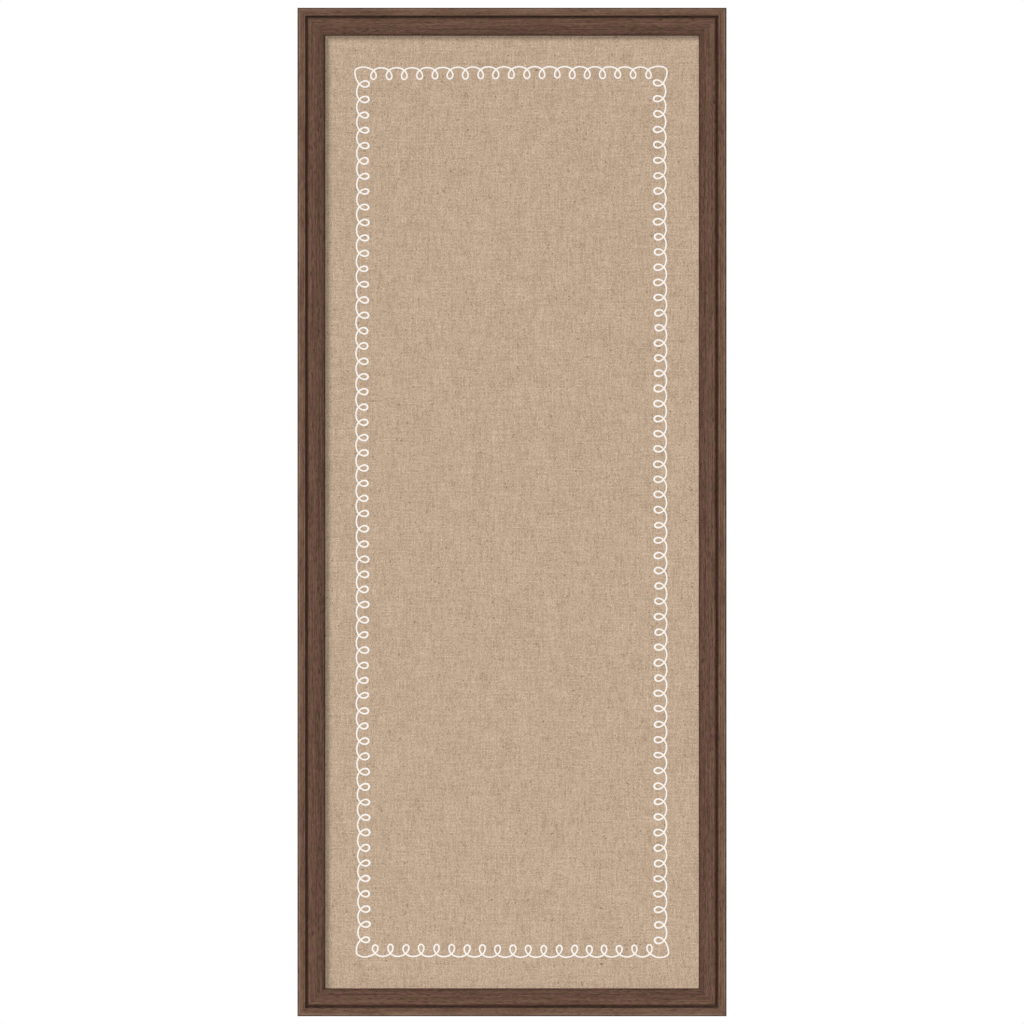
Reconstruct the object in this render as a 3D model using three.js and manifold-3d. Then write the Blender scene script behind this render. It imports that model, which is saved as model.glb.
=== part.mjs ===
import * as THREE from "three";
import { mergeVertices } from "three/addons/utils/BufferGeometryUtils.js";
import Module from "manifold-3d";

// A tall pin board: a linen-covered soft panel in a mitred wooden moulding, hung by two D-rings.
// Lengths are millimetres. x runs to the right, y from the front to the wall, z up.
// The origin is the middle of the top rail's back face, which lies towards the wall.

// The pack in the frame, from its front to its back
const panelWidth = 304.8;
const panelHeight = 762;
const linenThickness = 0.6;
const coreThickness = 6.4;
const hemWidth = 20;
const backingThickness = 2.5;
const layerGap = 0.25;

// The moulding's face, from its outer edge to the sight edge
const faceWidth = 21.9;
const outerRound = 1.2;
const beadWidth = 6.2;
const beadEdgeRound = 0.35;
const grooveWidth = 1.7;
const shoulderRound = 2.2;
const beadRise = 0.7;
const crownRadius = 68;
const crownHeight = 5.3;
const sightRound = 0.8;
const backArris = 0.6;

// The rebate behind the lip, and the mitres
const lipCover = 5;
const rebatePlay = 0.65;
const pointInset = 3;
const mitreGap = 0.1;

// V-nails, driven flush from the back across each mitre
const vNailLeg = 5;
const vNailThickness = 0.6;
const vNailDepth = 10;
const vNailHalfAngle = THREE.MathUtils.degToRad(50);
const vNailApexShares = [0.28, 0.52];
const vNailPlay = 0.2;

// Framer's points, driven into the rebate wall behind the backing board
const pointWidth = 6;
const pointThickness = 0.5;
const pointBite = 5;
const pointTaper = 2.5;
const pointReach = 9;
const pointTailRound = 1.5;
const pointPlay = 0.3;
const stilePointShares = [-0.375, -0.125, 0.125, 0.375];
const railPointShares = [-0.25, 0.25];

// Strap hangers with D-rings
const hangerDrop = 150;
const ringWire = 1.8;
const ringWidth = 14;
const ringLeg = 4;
const ringBend = 1.8;
const ringSplit = 0.4;
const ringRestGap = 0.3;
const eyePlay = 0.3;
const strapThickness = 0.8;
const strapWidth = 7;
const strapNeckRound = 1;
const strapFoldGap = 0.2;

// Hanger screws
const headRadius = 3;
const headHeight = 2;
const headRim = 0.7;
const headClearance = 1;
const shankRadius = 1.4;
const shankLength = 8;
const tipLength = 2.5;
const screwPlay = 0.3;

// Bumpers at the foot of the frame, which keep it off the wall
const bumperRadius = 5;
const bumperHeight = 2.5;
const bumperRim = 1.2;
const bumperInset = 30;

// Overrun of a cutting solid past the face that it cuts, and the fineness of round stretches
const overrun = 1;
const arcSegments = 6;
const turnSegments = 28;
const wireSides = 12;
const wireSteps = 56;

// Sizes that follow from those above
const wrapThickness = layerGap + linenThickness;
const sightWidth = panelWidth - 2 * lipCover;
const sightHeight = panelHeight - 2 * lipCover;
const frameWidth = sightWidth + 2 * faceWidth;
const frameHeight = sightHeight + 2 * faceWidth;
const landWidth = faceWidth - lipCover - wrapThickness - rebatePlay;
const backingBack = pointInset + pointThickness + layerGap;
const hemBack = backingBack + backingThickness + layerGap;
const coreBack = hemBack + linenThickness + layerGap;
const linenFront = coreBack + coreThickness + wrapThickness;
const rebateDepth = linenFront + layerGap;
const crownTop = rebateDepth + crownHeight;
const beadTop = crownTop + beadRise;
const wireRadius = ringWire / 2;
const eyeRadius = wireRadius + eyePlay;
const eyeHeight = strapThickness + eyeRadius;
const ringArcRadius = ringWidth / 2 - wireRadius;
const screwDrop = ringLeg + ringWidth / 2 + headClearance + headRadius;
const quarterTurn = Math.PI / 2;

const wasm = await Module();
wasm.setup();

const wood = new THREE.MeshStandardMaterial({ color: 0x674c3f, roughness: 0.55 });
const linen = new THREE.MeshStandardMaterial({ color: 0xc0a890, roughness: 0.95 });
const fibreboard = new THREE.MeshStandardMaterial({ color: 0x9a8468, roughness: 0.95 });
const hardboard = new THREE.MeshStandardMaterial({ color: 0x6e4f36, roughness: 0.8 });
const zinc = new THREE.MeshStandardMaterial({ color: 0xb9bcc0, roughness: 0.35, metalness: 0.9 });
const rubber = new THREE.MeshStandardMaterial({ color: 0x3a3633, roughness: 0.9 });

// A closed geometry as a solid that can be cut and joined
function solidOf(geometry) {
  const bare = geometry.clone();
  bare.deleteAttribute("normal");
  bare.deleteAttribute("uv");
  const merged = mergeVertices(bare);
  return new wasm.Manifold(
    new wasm.Mesh({
      numProp: 3,
      vertProperties: merged.getAttribute("position").array,
      triVerts: new Uint32Array(merged.index.array),
    }),
  );
}

// A solid as a geometry with flat faces
function geometryOf(solid) {
  const mesh = solid.getMesh();
  const shared = new THREE.BufferGeometry()
    .setAttribute("position", new THREE.BufferAttribute(mesh.vertProperties, mesh.numProp))
    .setIndex(new THREE.BufferAttribute(mesh.triVerts, 1));
  const flat = shared.toNonIndexed();
  flat.computeVertexNormals();
  return flat;
}

// An outline carried straight along its normal, from 0 to depth
function extruded(outline, depth) {
  return new THREE.ExtrudeGeometry(outline, {
    depth,
    bevelEnabled: false,
    curveSegments: arcSegments,
  });
}

// A profile of radius and height turned about y
function turned(profile) {
  const points = profile.getPoints(arcSegments);
  return new THREE.LatheGeometry(points, turnSegments);
}

const board = new THREE.Group();
board.name = "pin_board";
board.position.z = landWidth / 2 - frameHeight / 2;

function addPiece(name, geometry, material, parent = board) {
  const mesh = new THREE.Mesh(geometry, material);
  mesh.name = name;
  parent.add(mesh);
  return mesh;
}

// The four sides are one moulding, made as the top rail lies and turned about the board's middle
const sides = [
  { name: "top_rail", length: frameWidth, span: frameHeight, turn: 0, shares: railPointShares },
  { name: "right_stile", length: frameHeight, span: frameWidth, turn: 1, shares: stilePointShares },
  { name: "bottom_rail", length: frameWidth, span: frameHeight, turn: 2, shares: railPointShares },
  { name: "left_stile", length: frameHeight, span: frameWidth, turn: 3, shares: stilePointShares },
];

// Moves what lies on the top rail, measured down from its outer edge, to its place on one side
function toSide(geometry, side) {
  return geometry.translate(0, 0, side.span / 2).rotateY(side.turn * quarterTurn);
}

// The moulding's section: across from the outer edge, and up from the back to the front.
// A square bead, a dark groove, a round shoulder and a flat crown that falls to the sight edge.
function mouldingOutline() {
  const grooveEnd = beadWidth + grooveWidth;
  const crownStart = grooveEnd + shoulderRound;
  const grooveFloor = crownTop - shoulderRound;
  const sightCentre = faceWidth - sightRound;
  const crownEnd = Math.acos((sightCentre - crownStart) / (crownRadius - sightRound));
  const crownCentre = crownTop - crownRadius;
  const sightCentreHeight = crownCentre + (crownRadius - sightRound) * Math.sin(crownEnd);

  const outline = new THREE.Shape();
  outline.moveTo(0, backArris);
  outline.lineTo(0, beadTop - outerRound);
  outline.absarc(outerRound, beadTop - outerRound, outerRound, Math.PI, quarterTurn, true);
  outline.lineTo(beadWidth - beadEdgeRound, beadTop);
  outline.absarc(
    beadWidth - beadEdgeRound,
    beadTop - beadEdgeRound,
    beadEdgeRound,
    quarterTurn,
    0,
    true,
  );
  outline.lineTo(beadWidth, grooveFloor);
  outline.lineTo(grooveEnd, grooveFloor);
  outline.absarc(crownStart, grooveFloor, shoulderRound, Math.PI, quarterTurn, true);
  outline.absarc(crownStart, crownCentre, crownRadius, quarterTurn, crownEnd, true);
  outline.absarc(sightCentre, sightCentreHeight, sightRound, crownEnd, 0, true);
  outline.lineTo(faceWidth, rebateDepth);
  outline.lineTo(landWidth, rebateDepth);
  outline.lineTo(landWidth, 0);
  outline.lineTo(backArris, 0);
  outline.closePath();
  return outline;
}

// A length of moulding with both ends cut back at 45 degrees, a hair short of the mitre plane
function railGeometry(length) {
  const rail = extruded(mouldingOutline(), length);
  const at = rail.getAttribute("position");
  const shortening = mitreGap * Math.SQRT1_2;
  for (let i = 0; i < at.count; i += 1) {
    const across = at.getX(i);
    const end = Math.sign(at.getZ(i) - length / 2);
    const along = end * (length / 2 - across - shortening);
    at.setXYZ(i, -along, -at.getY(i), -across);
  }
  return rail;
}

// The V of a corner nail, its apex at the origin and its legs towards +x
function vNailOutline(grow) {
  const half = vNailThickness / 2 + grow;
  const leg = vNailLeg + grow;
  const apex = half / Math.sin(vNailHalfAngle);
  const along = new THREE.Vector2(Math.cos(vNailHalfAngle), Math.sin(vNailHalfAngle));
  const across = new THREE.Vector2(-along.y, along.x);
  const outer = along.clone().multiplyScalar(leg).addScaledVector(across, half);
  const inner = along.clone().multiplyScalar(leg).addScaledVector(across, -half);
  return new THREE.Shape([
    new THREE.Vector2(-apex, 0),
    new THREE.Vector2(outer.x, -outer.y),
    new THREE.Vector2(inner.x, -inner.y),
    new THREE.Vector2(apex, 0),
    inner,
    outer,
  ]);
}

const corners = [
  { name: "top_left", x: -1, z: 1 },
  { name: "top_right", x: 1, z: 1 },
  { name: "bottom_right", x: 1, z: -1 },
  { name: "bottom_left", x: -1, z: -1 },
];

// A corner nail, or with grow and extra its pocket, along one mitre from the outer corner
function vNailGeometry(corner, index, apexShare, grow, extra) {
  const depth = vNailDepth + grow + extra;
  const inward = apexShare * landWidth;
  return extruded(vNailOutline(grow), depth)
    .rotateX(quarterTurn)
    .translate(0, extra, 0)
    .rotateY((index + 1 / 2) * quarterTurn)
    .translate(
      corner.x * (frameWidth / 2 - inward),
      0,
      corner.z * (frameHeight / 2 - inward),
    );
}

// A framer's point in plan: its tip in the wood at -y, its round tail over the backing at +y
function pointOutline(grow) {
  const half = pointWidth / 2 + grow;
  const round = Math.min(pointTailRound, half);
  const tip = -pointBite - grow;
  const tail = pointReach + grow;
  const outline = new THREE.Shape();
  outline.moveTo(0, tip);
  outline.lineTo(half, tip + pointTaper);
  outline.absarc(half - round, tail - round, round, 0, quarterTurn, false);
  outline.absarc(round - half, tail - round, round, quarterTurn, Math.PI, false);
  outline.lineTo(-half, tip + pointTaper);
  outline.closePath();
  return outline;
}

// A point, or with grow its slot, at a share of the panel's edge along one side
function pointGeometry(side, share, grow) {
  const edge = side.length - 2 * landWidth;
  const flat = extruded(pointOutline(grow), pointThickness + 2 * grow)
    .rotateX(-quarterTurn)
    .translate(share * edge, -pointInset - pointThickness - grow, -landWidth);
  return toSide(flat, side);
}

const vNails = corners.flatMap((corner, index) =>
  vNailApexShares.map((apexShare, row) => ({ corner, index, apexShare, row })),
);
const points = sides.flatMap((side) => side.shares.map((share, i) => ({ side, share, i })));
const hangers = [
  { name: "left", x: landWidth / 2 - frameWidth / 2 },
  { name: "right", x: frameWidth / 2 - landWidth / 2 },
];
const hangerZ = frameHeight / 2 - hangerDrop;

// The hanger screw's profile: a pointed shank and a pan head, from its tip to the head's top
function screwProfile() {
  const profile = new THREE.Path();
  profile.moveTo(0, -shankLength - tipLength);
  profile.lineTo(shankRadius, -shankLength);
  profile.lineTo(shankRadius, 0);
  profile.lineTo(headRadius, 0);
  profile.lineTo(headRadius, headHeight / 2);
  profile.quadraticCurveTo(headRadius, headHeight, headRadius - headRim, headHeight);
  profile.lineTo(0, headHeight);
  return profile;
}

// The pilot hole's profile, from its floor in the wood to past the back face
function pilotProfile() {
  const radius = shankRadius + screwPlay;
  const floor = -shankLength - tipLength - screwPlay;
  const profile = new THREE.Path();
  profile.moveTo(0, floor);
  profile.lineTo(radius, floor);
  profile.lineTo(radius, overrun);
  profile.lineTo(0, overrun);
  return profile;
}

// What is cut out of the moulding: the nails' pockets, the points' slots and the pilot holes
const cuts = [
  ...vNails.map((nail) =>
    vNailGeometry(nail.corner, nail.index, nail.apexShare, vNailPlay, overrun),
  ),
  ...points.map((point) => pointGeometry(point.side, point.share, pointPlay)),
  ...hangers.map((hanger) =>
    turned(pilotProfile()).translate(hanger.x, 2 * strapThickness, hangerZ - screwDrop),
  ),
].map(solidOf);

for (const side of sides) {
  const blank = solidOf(toSide(railGeometry(side.length), side));
  const rail = cuts.reduce((left, cut) => left.subtract(cut), blank);
  addPiece(side.name, geometryOf(rail), wood);
}

const rowNames = ["outer", "inner"];
for (const nail of vNails) {
  const geometry = vNailGeometry(nail.corner, nail.index, nail.apexShare, 0, 0);
  addPiece(`v_nail_${nail.corner.name}_${rowNames[nail.row]}`, geometry, zinc);
}

for (const point of points) {
  const name = `framers_point_${point.side.name}_${point.i + 1}`;
  addPiece(name, pointGeometry(point.side, point.share, 0), zinc);
}

// A slab centred on the board, its back face a given height in front of the frame's back
function slabGeometry(width, height, back, front) {
  const slab = new THREE.BoxGeometry(width, front - back, height);
  return slab.translate(0, -(back + front) / 2, 0);
}

// The linen is drawn over the core's face and edges and turned over its back as a hem
function linenGeometry() {
  const wrapWidth = panelWidth + 2 * wrapThickness;
  const wrapHeight = panelHeight + 2 * wrapThickness;
  const coreFront = coreBack + coreThickness;
  const wrapped = solidOf(slabGeometry(wrapWidth, wrapHeight, hemBack, linenFront));
  const hollow = solidOf(
    slabGeometry(
      panelWidth + 2 * layerGap,
      panelHeight + 2 * layerGap,
      coreBack - layerGap,
      coreFront + layerGap,
    ),
  );
  const window = solidOf(
    slabGeometry(
      panelWidth - 2 * hemWidth,
      panelHeight - 2 * hemWidth,
      hemBack - overrun,
      coreBack,
    ),
  );
  return geometryOf(wrapped.subtract(hollow).subtract(window));
}

addPiece("linen_cover", linenGeometry(), linen);
addPiece(
  "fibreboard_core",
  slabGeometry(panelWidth, panelHeight, coreBack, coreBack + coreThickness),
  fibreboard,
);
addPiece(
  "backing_board",
  slabGeometry(panelWidth, panelHeight, backingBack, backingBack + backingThickness),
  hardboard,
);

// The strap's side view: x out from the wood and y up, with the ring's axis at (eyeHeight, 0).
// One sheet lies on the wood, turns over the ring's bar and comes down on itself.
function strapOutline() {
  const end = -screwDrop - strapWidth / 2;
  const foldRadius = eyeRadius + strapThickness;
  const neckCentre = 2 * strapThickness + strapNeckRound;
  const neckOffset = neckCentre - eyeHeight;
  const neckDrop = -Math.sqrt((foldRadius + strapNeckRound) ** 2 - neckOffset ** 2);
  const neckAngle = Math.atan2(neckDrop, neckOffset);

  const outline = new THREE.Shape();
  outline.moveTo(0, end);
  outline.lineTo(2 * strapThickness, end);
  outline.absarc(neckCentre, neckDrop, strapNeckRound, Math.PI, neckAngle + Math.PI, true);
  outline.absarc(eyeHeight, 0, foldRadius, neckAngle, Math.PI, false);
  outline.closePath();

  // The eye narrows below the bar to where the two layers meet
  const throatRadius = strapNeckRound + strapThickness;
  const throatAngle = Math.acos((throatRadius - strapFoldGap) / throatRadius);
  const throatEnd = neckDrop + throatRadius * Math.sin(throatAngle);
  const eye = new THREE.Path();
  eye.moveTo(strapThickness, throatEnd);
  eye.absarc(
    neckCentre,
    neckDrop,
    throatRadius,
    Math.PI - throatAngle,
    neckAngle + Math.PI,
    true,
  );
  eye.absarc(eyeHeight, 0, eyeRadius, neckAngle, Math.PI, false);
  eye.closePath();
  outline.holes.push(eye);
  return outline;
}

// The strap from the front: as wide as its sheet, with a round end about the screw
function strapPlan() {
  const half = strapWidth / 2;
  const top = eyeRadius + strapThickness + overrun;
  const plan = new THREE.Shape();
  plan.moveTo(half, top);
  plan.lineTo(-half, top);
  plan.absarc(0, -screwDrop, half, Math.PI, 2 * Math.PI, false);
  plan.closePath();
  return plan;
}

const alongX = new THREE.Vector3(1, 0, 0);
const alongY = new THREE.Vector3(0, 1, 0);
const alongZ = new THREE.Vector3(0, 0, 1);
const sideViewToBoard = new THREE.Matrix4().makeBasis(alongY, alongZ, alongX);

// A strap with its screw hole, about the point on the wood behind the ring's axis
function strapGeometry() {
  const tall = 2 * (eyeHeight + overrun);
  const sheet = solidOf(
    extruded(strapOutline(), strapWidth)
      .translate(0, 0, -strapWidth / 2)
      .applyMatrix4(sideViewToBoard),
  );
  const plan = solidOf(extruded(strapPlan(), tall).rotateX(quarterTurn).translate(0, tall, 0));
  const hole = solidOf(
    new THREE.CylinderGeometry(
      shankRadius + screwPlay,
      shankRadius + screwPlay,
      2 * tall,
      turnSegments,
    ).translate(0, 0, -screwDrop),
  );
  return geometryOf(sheet.intersect(plan).subtract(hole));
}

// The centre line of the ring's wire in its own plane: the bar through the eye on the x axis,
// two straight legs and a half circle, with the wire's ends meeting in the middle of the bar
class RingLine extends THREE.Curve {
  constructor() {
    super();
    const side = ringArcRadius;
    const path = new THREE.Path();
    path.moveTo(ringSplit / 2, 0);
    path.absarc(side - ringBend, -ringBend, ringBend, quarterTurn, 0, true);
    path.absarc(0, -ringLeg, side, 0, -Math.PI, true);
    path.absarc(ringBend - side, -ringBend, ringBend, Math.PI, quarterTurn, true);
    path.lineTo(-ringSplit / 2, 0);
    this.path = path;
  }

  getPoint(t, target = new THREE.Vector3()) {
    const point = this.path.getPointAt(t);
    return target.set(point.x, 0, point.y);
  }
}

function ringGeometry() {
  const section = new THREE.Shape();
  section.absarc(0, 0, wireRadius, 0, 2 * Math.PI, false);
  return new THREE.ExtrudeGeometry(section, {
    extrudePath: new RingLine(),
    steps: wireSteps,
    curveSegments: wireSides / 2,
  });
}

// At rest a ring hangs over its strap, tilted out so that its arc lies just clear of the sheet
const arcOverStrap = ringLeg + Math.sqrt(ringArcRadius ** 2 - (strapWidth / 2) ** 2);
const ringRestTilt = Math.asin((strapThickness + ringRestGap - eyePlay) / arcOverStrap);

for (const hanger of hangers) {
  const strap = addPiece(`hanger_strap_${hanger.name}`, strapGeometry(), zinc);
  strap.position.set(hanger.x, 0, hangerZ);

  const hinge = new THREE.Group();
  hinge.position.set(hanger.x, eyeHeight, hangerZ);
  hinge.rotation.x = ringRestTilt;
  board.add(hinge);
  addPiece(`d_ring_${hanger.name}`, ringGeometry(), zinc, hinge);

  const screw = addPiece(`hanger_screw_${hanger.name}`, turned(screwProfile()), zinc);
  screw.position.set(hanger.x, 2 * strapThickness, hangerZ - screwDrop);
}

// A low rubber bumper with a rounded rim, stuck to the back of the bottom rail
function bumperProfile() {
  const profile = new THREE.Path();
  profile.moveTo(0, 0);
  profile.lineTo(bumperRadius, 0);
  profile.absarc(
    bumperRadius - bumperRim,
    bumperHeight - bumperRim,
    bumperRim,
    0,
    quarterTurn,
    false,
  );
  profile.lineTo(0, bumperHeight);
  return profile;
}

for (const [name, sign] of [["left", -1], ["right", 1]]) {
  const bumper = addPiece(`wall_bumper_${name}`, turned(bumperProfile()), rubber);
  bumper.position.set(
    sign * (frameWidth / 2 - bumperInset),
    0,
    landWidth / 2 - frameHeight / 2,
  );
}

export default board;
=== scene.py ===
"""A linen pin board in a walnut-stained moulding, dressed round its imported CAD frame.

The frame is in metres: +X is right as seen from the front, +Y goes to the wall and +Z is up.
The board's back lies on y = 0. Each piece is shaped with Blender's own operators, in its place.
"""

import logging
import math
import random
from collections.abc import Callable, Iterator, Mapping, Sequence
from contextlib import contextmanager
from dataclasses import dataclass, field
from enum import Enum
from typing import Any

import bmesh
import bpy
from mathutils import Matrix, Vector


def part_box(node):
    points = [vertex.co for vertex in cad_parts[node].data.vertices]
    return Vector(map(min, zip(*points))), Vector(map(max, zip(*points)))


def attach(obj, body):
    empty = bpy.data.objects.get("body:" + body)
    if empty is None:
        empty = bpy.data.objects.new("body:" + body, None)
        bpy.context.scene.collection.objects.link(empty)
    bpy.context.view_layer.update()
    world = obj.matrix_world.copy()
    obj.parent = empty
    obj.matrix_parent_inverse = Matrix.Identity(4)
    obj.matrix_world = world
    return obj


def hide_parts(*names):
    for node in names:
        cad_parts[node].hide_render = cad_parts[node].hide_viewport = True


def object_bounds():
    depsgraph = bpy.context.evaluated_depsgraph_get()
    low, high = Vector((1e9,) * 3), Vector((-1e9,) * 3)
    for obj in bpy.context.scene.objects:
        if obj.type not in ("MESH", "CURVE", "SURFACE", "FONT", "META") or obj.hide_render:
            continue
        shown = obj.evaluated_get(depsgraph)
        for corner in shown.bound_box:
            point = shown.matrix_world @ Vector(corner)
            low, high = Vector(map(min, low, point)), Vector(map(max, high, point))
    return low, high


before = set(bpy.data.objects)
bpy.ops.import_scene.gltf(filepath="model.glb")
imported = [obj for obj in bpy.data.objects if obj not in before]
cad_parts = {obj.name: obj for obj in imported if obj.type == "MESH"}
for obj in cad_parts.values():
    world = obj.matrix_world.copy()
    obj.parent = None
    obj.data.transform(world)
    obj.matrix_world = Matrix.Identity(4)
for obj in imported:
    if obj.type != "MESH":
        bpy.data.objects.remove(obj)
cad_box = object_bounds()

log = logging.getLogger("pin_board")

MM = 0.001
HALF_TURN = math.pi
QUARTER_TURN = math.pi / 2
HAIR = 1e-6
# What a direction has along an axis, at least, to count as going that way
STRAIGHT = 0.9
SMOOTH_BELOW = math.radians(35)

# Blender numbers the colour sockets of its Mix node
MIX_FIRST, MIX_SECOND, MIX_RESULT = 6, 7, 2

Place = Sequence[float]
Test = Callable[[Vector, Vector], bool]
Colour = tuple[float, float, float, float]
Streak = tuple[float, float]
Sizes = tuple[float, float, float]
Tree = bpy.types.NodeTree
Node = bpy.types.Node
Socket = bpy.types.NodeSocket
Material = bpy.types.Material


def srgb(code: str) -> Colour:
    """Turns an sRGB hex colour into the linear colour that Blender's sockets take.

    Args:
        code: Six hex digits after a hash mark.

    Returns:
        Red, green and blue from 0 to 1, linear, and full alpha.
    """
    shares = [int(code[i : i + 2], 16) / 255 for i in (1, 3, 5)]
    red, green, blue = (
        share / 12.92 if share <= 0.04045 else ((share + 0.055) / 1.055) ** 2.4
        for share in shares
    )
    return red, green, blue, 1.0


def add(
    tree: Tree, kind: str, inputs: Mapping[str | int, Any] | None = None, **settings: Any
) -> Node:
    """Adds a node, sets its options, and fills or links its inputs.

    Args:
        tree: The node tree of a material or of the world.
        kind: The node's type, without the words that all shader nodes begin with.
        inputs: A number, colour, socket or node for each input, by name or number.
        **settings: The node's own options.

    Returns:
        The new node. Given as an input, it stands for its first output.
    """
    node = tree.nodes.new(f"ShaderNode{kind}")
    for option, value in settings.items():
        setattr(node, option, value)
    for key, value in (inputs or {}).items():
        if isinstance(value, Node):
            value = value.outputs[0]
        if isinstance(value, Socket):
            tree.links.new(value, node.inputs[key])
        else:
            node.inputs[key].default_value = value
    return node


def run(operator: Callable[..., set[str]], **settings: Any) -> None:
    """Calls one of Blender's operators, and stops the script if it did nothing.

    Args:
        operator: The operator, such as bpy.ops.mesh.bevel.
        **settings: The operator's own settings.
    """
    if "FINISHED" not in operator(**settings):
        raise RuntimeError(f"{operator.idname()} did nothing with {settings}")


def deselect() -> None:
    """Leaves nothing selected, so that the next operator acts on its own piece alone."""
    if bpy.context.object is not None and bpy.context.object.mode != "OBJECT":
        bpy.ops.object.mode_set(mode="OBJECT")
    bpy.ops.object.select_all(action="DESELECT")


class Pick(Enum):
    """What an operator in edit mode is to act on."""

    POINTS = "VERT"
    EDGES = "EDGE"
    FACES = "FACE"


class Workpiece:
    """A mesh on the bench, shaped with Blender's own operators."""

    def __init__(self, obj: bpy.types.Object, name: str) -> None:
        """Takes an object that a primitive or a copy has just made.

        Args:
            obj: The object, which sits where the piece will be.
            name: The piece's name.
        """
        self.obj = obj
        obj.name = obj.data.name = name

    @classmethod
    def block(cls, name: str, low: Place, high: Place) -> "Workpiece":
        """Starts a piece as a cube between two corners.

        Args:
            name: The piece's name.
            low: The lowest corner.
            high: The highest corner.

        Returns:
            The new piece.
        """
        low, high = Vector(low), Vector(high)
        deselect()
        run(bpy.ops.mesh.primitive_cube_add, size=1, location=(low + high) / 2)
        bpy.context.object.scale = high - low
        run(bpy.ops.object.transform_apply)
        return cls(bpy.context.object, name)

    @classmethod
    def round_bar(
        cls, name: str, radius: float, foot: Place, height: float, sides: int
    ) -> "Workpiece":
        """Starts a piece as a cylinder that stands on the back of the board, along +Y.

        Args:
            name: The piece's name.
            radius: The cylinder's radius.
            foot: The centre of its foot.
            height: How far it stands out.
            sides: The number of its sides.

        Returns:
            The new piece.
        """
        deselect()
        run(
            bpy.ops.mesh.primitive_cylinder_add,
            vertices=sides,
            radius=radius,
            depth=height,
            location=Vector(foot) + Vector((0, height / 2, 0)),
            rotation=(QUARTER_TURN, 0, 0),
        )
        run(bpy.ops.object.transform_apply)
        return cls(bpy.context.object, name)

    @classmethod
    def copy_of(cls, source: bpy.types.Object, name: str) -> "Workpiece":
        """Copies an object with its own mesh, its doubled points merged.

        Args:
            source: The object to copy, which is left as it is.
            name: The copy's name.

        Returns:
            The new piece.
        """
        twin = bpy.data.objects.new(name, source.data.copy())
        bpy.context.collection.objects.link(twin)
        piece = cls(twin, name)
        with piece.shaping():
            piece.pick_all()
            piece.weld()
        return piece

    def select(self) -> None:
        """Makes this piece the only selected one, and the active one."""
        deselect()
        self.obj.select_set(True)
        bpy.context.view_layer.objects.active = self.obj

    @contextmanager
    def shaping(self) -> Iterator[None]:
        """Holds this piece in edit mode while its block of code runs."""
        self.select()
        bpy.ops.object.mode_set(mode="EDIT")
        yield
        bpy.ops.object.mode_set(mode="OBJECT")

    def pick_all(self) -> None:
        """Selects the whole piece."""
        bpy.ops.mesh.select_all(action="SELECT")

    def pick(self, what: Pick, test: Test) -> None:
        """Selects points, edges or faces by where they are and which way they go.

        Args:
            what: The kind of element.
            test: Is given an element's middle, and its normal or an edge's direction.
        """
        bpy.ops.mesh.select_mode(type=what.value)
        bpy.ops.mesh.select_all(action="DESELECT")
        mesh = bmesh.from_edit_mesh(self.obj.data)
        if what is Pick.FACES:
            found = [face for face in mesh.faces if test(face.calc_center_median(), face.normal)]
        elif what is Pick.EDGES:
            found = []
            for edge in mesh.edges:
                start, end = (corner.co for corner in edge.verts)
                if test((start + end) / 2, (end - start).normalized()):
                    found.append(edge)
        else:
            found = [point for point in mesh.verts if test(point.co, point.normal)]
        if not found:
            raise RuntimeError(f"{self.obj.name}: nothing was picked among its {what.name}")
        for element in found:
            element.select_set(True)
        mesh.select_flush_mode()
        bmesh.update_edit_mesh(self.obj.data)

    def extrude(self, by: Place) -> None:
        """Draws the selection out by a vector, with new walls behind it."""
        run(bpy.ops.mesh.extrude_region_move, TRANSFORM_OT_translate={"value": tuple(by)})

    def move(self, by: Place) -> None:
        """Moves the selection by a vector."""
        run(bpy.ops.transform.translate, value=tuple(by))

    def resize(self, by: Place, centre: Place) -> None:
        """Scales the selection about a point."""
        run(bpy.ops.transform.resize, value=tuple(by), center_override=tuple(centre))

    def bevel(self, width: float, steps: int) -> None:
        """Rounds the selected edges, or with one step chamfers them."""
        run(bpy.ops.mesh.bevel, offset=width, segments=steps, clamp_overlap=False)

    def cut(self, point: Place, normal: Place, clear: bool = False) -> None:
        """Cuts the selection with a plane.

        Args:
            point: A point on the plane.
            normal: The plane's normal.
            clear: Takes away what lies in front of the plane, and closes the cut.
        """
        run(
            bpy.ops.mesh.bisect,
            plane_co=tuple(point),
            plane_no=tuple(normal),
            clear_outer=clear,
            threshold=HAIR,
        )
        if clear:
            run(bpy.ops.mesh.edge_face_add)

    def spin(self, centre: Place, axis: Place, angle: float, steps: int) -> None:
        """Draws the selection out round an axis, by an angle that follows the right hand."""
        run(bpy.ops.mesh.spin, center=tuple(centre), axis=tuple(axis), angle=-angle, steps=steps)

    def weld(self) -> None:
        """Merges the doubled points of the selection."""
        bpy.ops.mesh.remove_doubles(threshold=HAIR)

    def face_out(self) -> None:
        """Merges doubles and turns every face outwards."""
        with self.shaping():
            self.pick_all()
            self.weld()
            run(bpy.ops.mesh.normals_make_consistent, inside=False)

    def modify(self, kind: str, **settings: Any) -> None:
        """Adds a modifier, sets it and applies it.

        Args:
            kind: The modifier's type, such as BEVEL.
            **settings: Its settings.
        """
        self.select()
        modifier = self.obj.modifiers.new(kind.title(), kind)
        for option, value in settings.items():
            setattr(modifier, option, value)
        run(bpy.ops.object.modifier_apply, modifier=modifier.name)

    def subtract(self, *tools: "Workpiece") -> None:
        """Cuts the shapes of other pieces out of this one, and removes them."""
        for tool in tools:
            self.modify("BOOLEAN", operation="DIFFERENCE", solver="EXACT", object=tool.obj)
            bpy.data.objects.remove(tool.obj)

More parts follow.
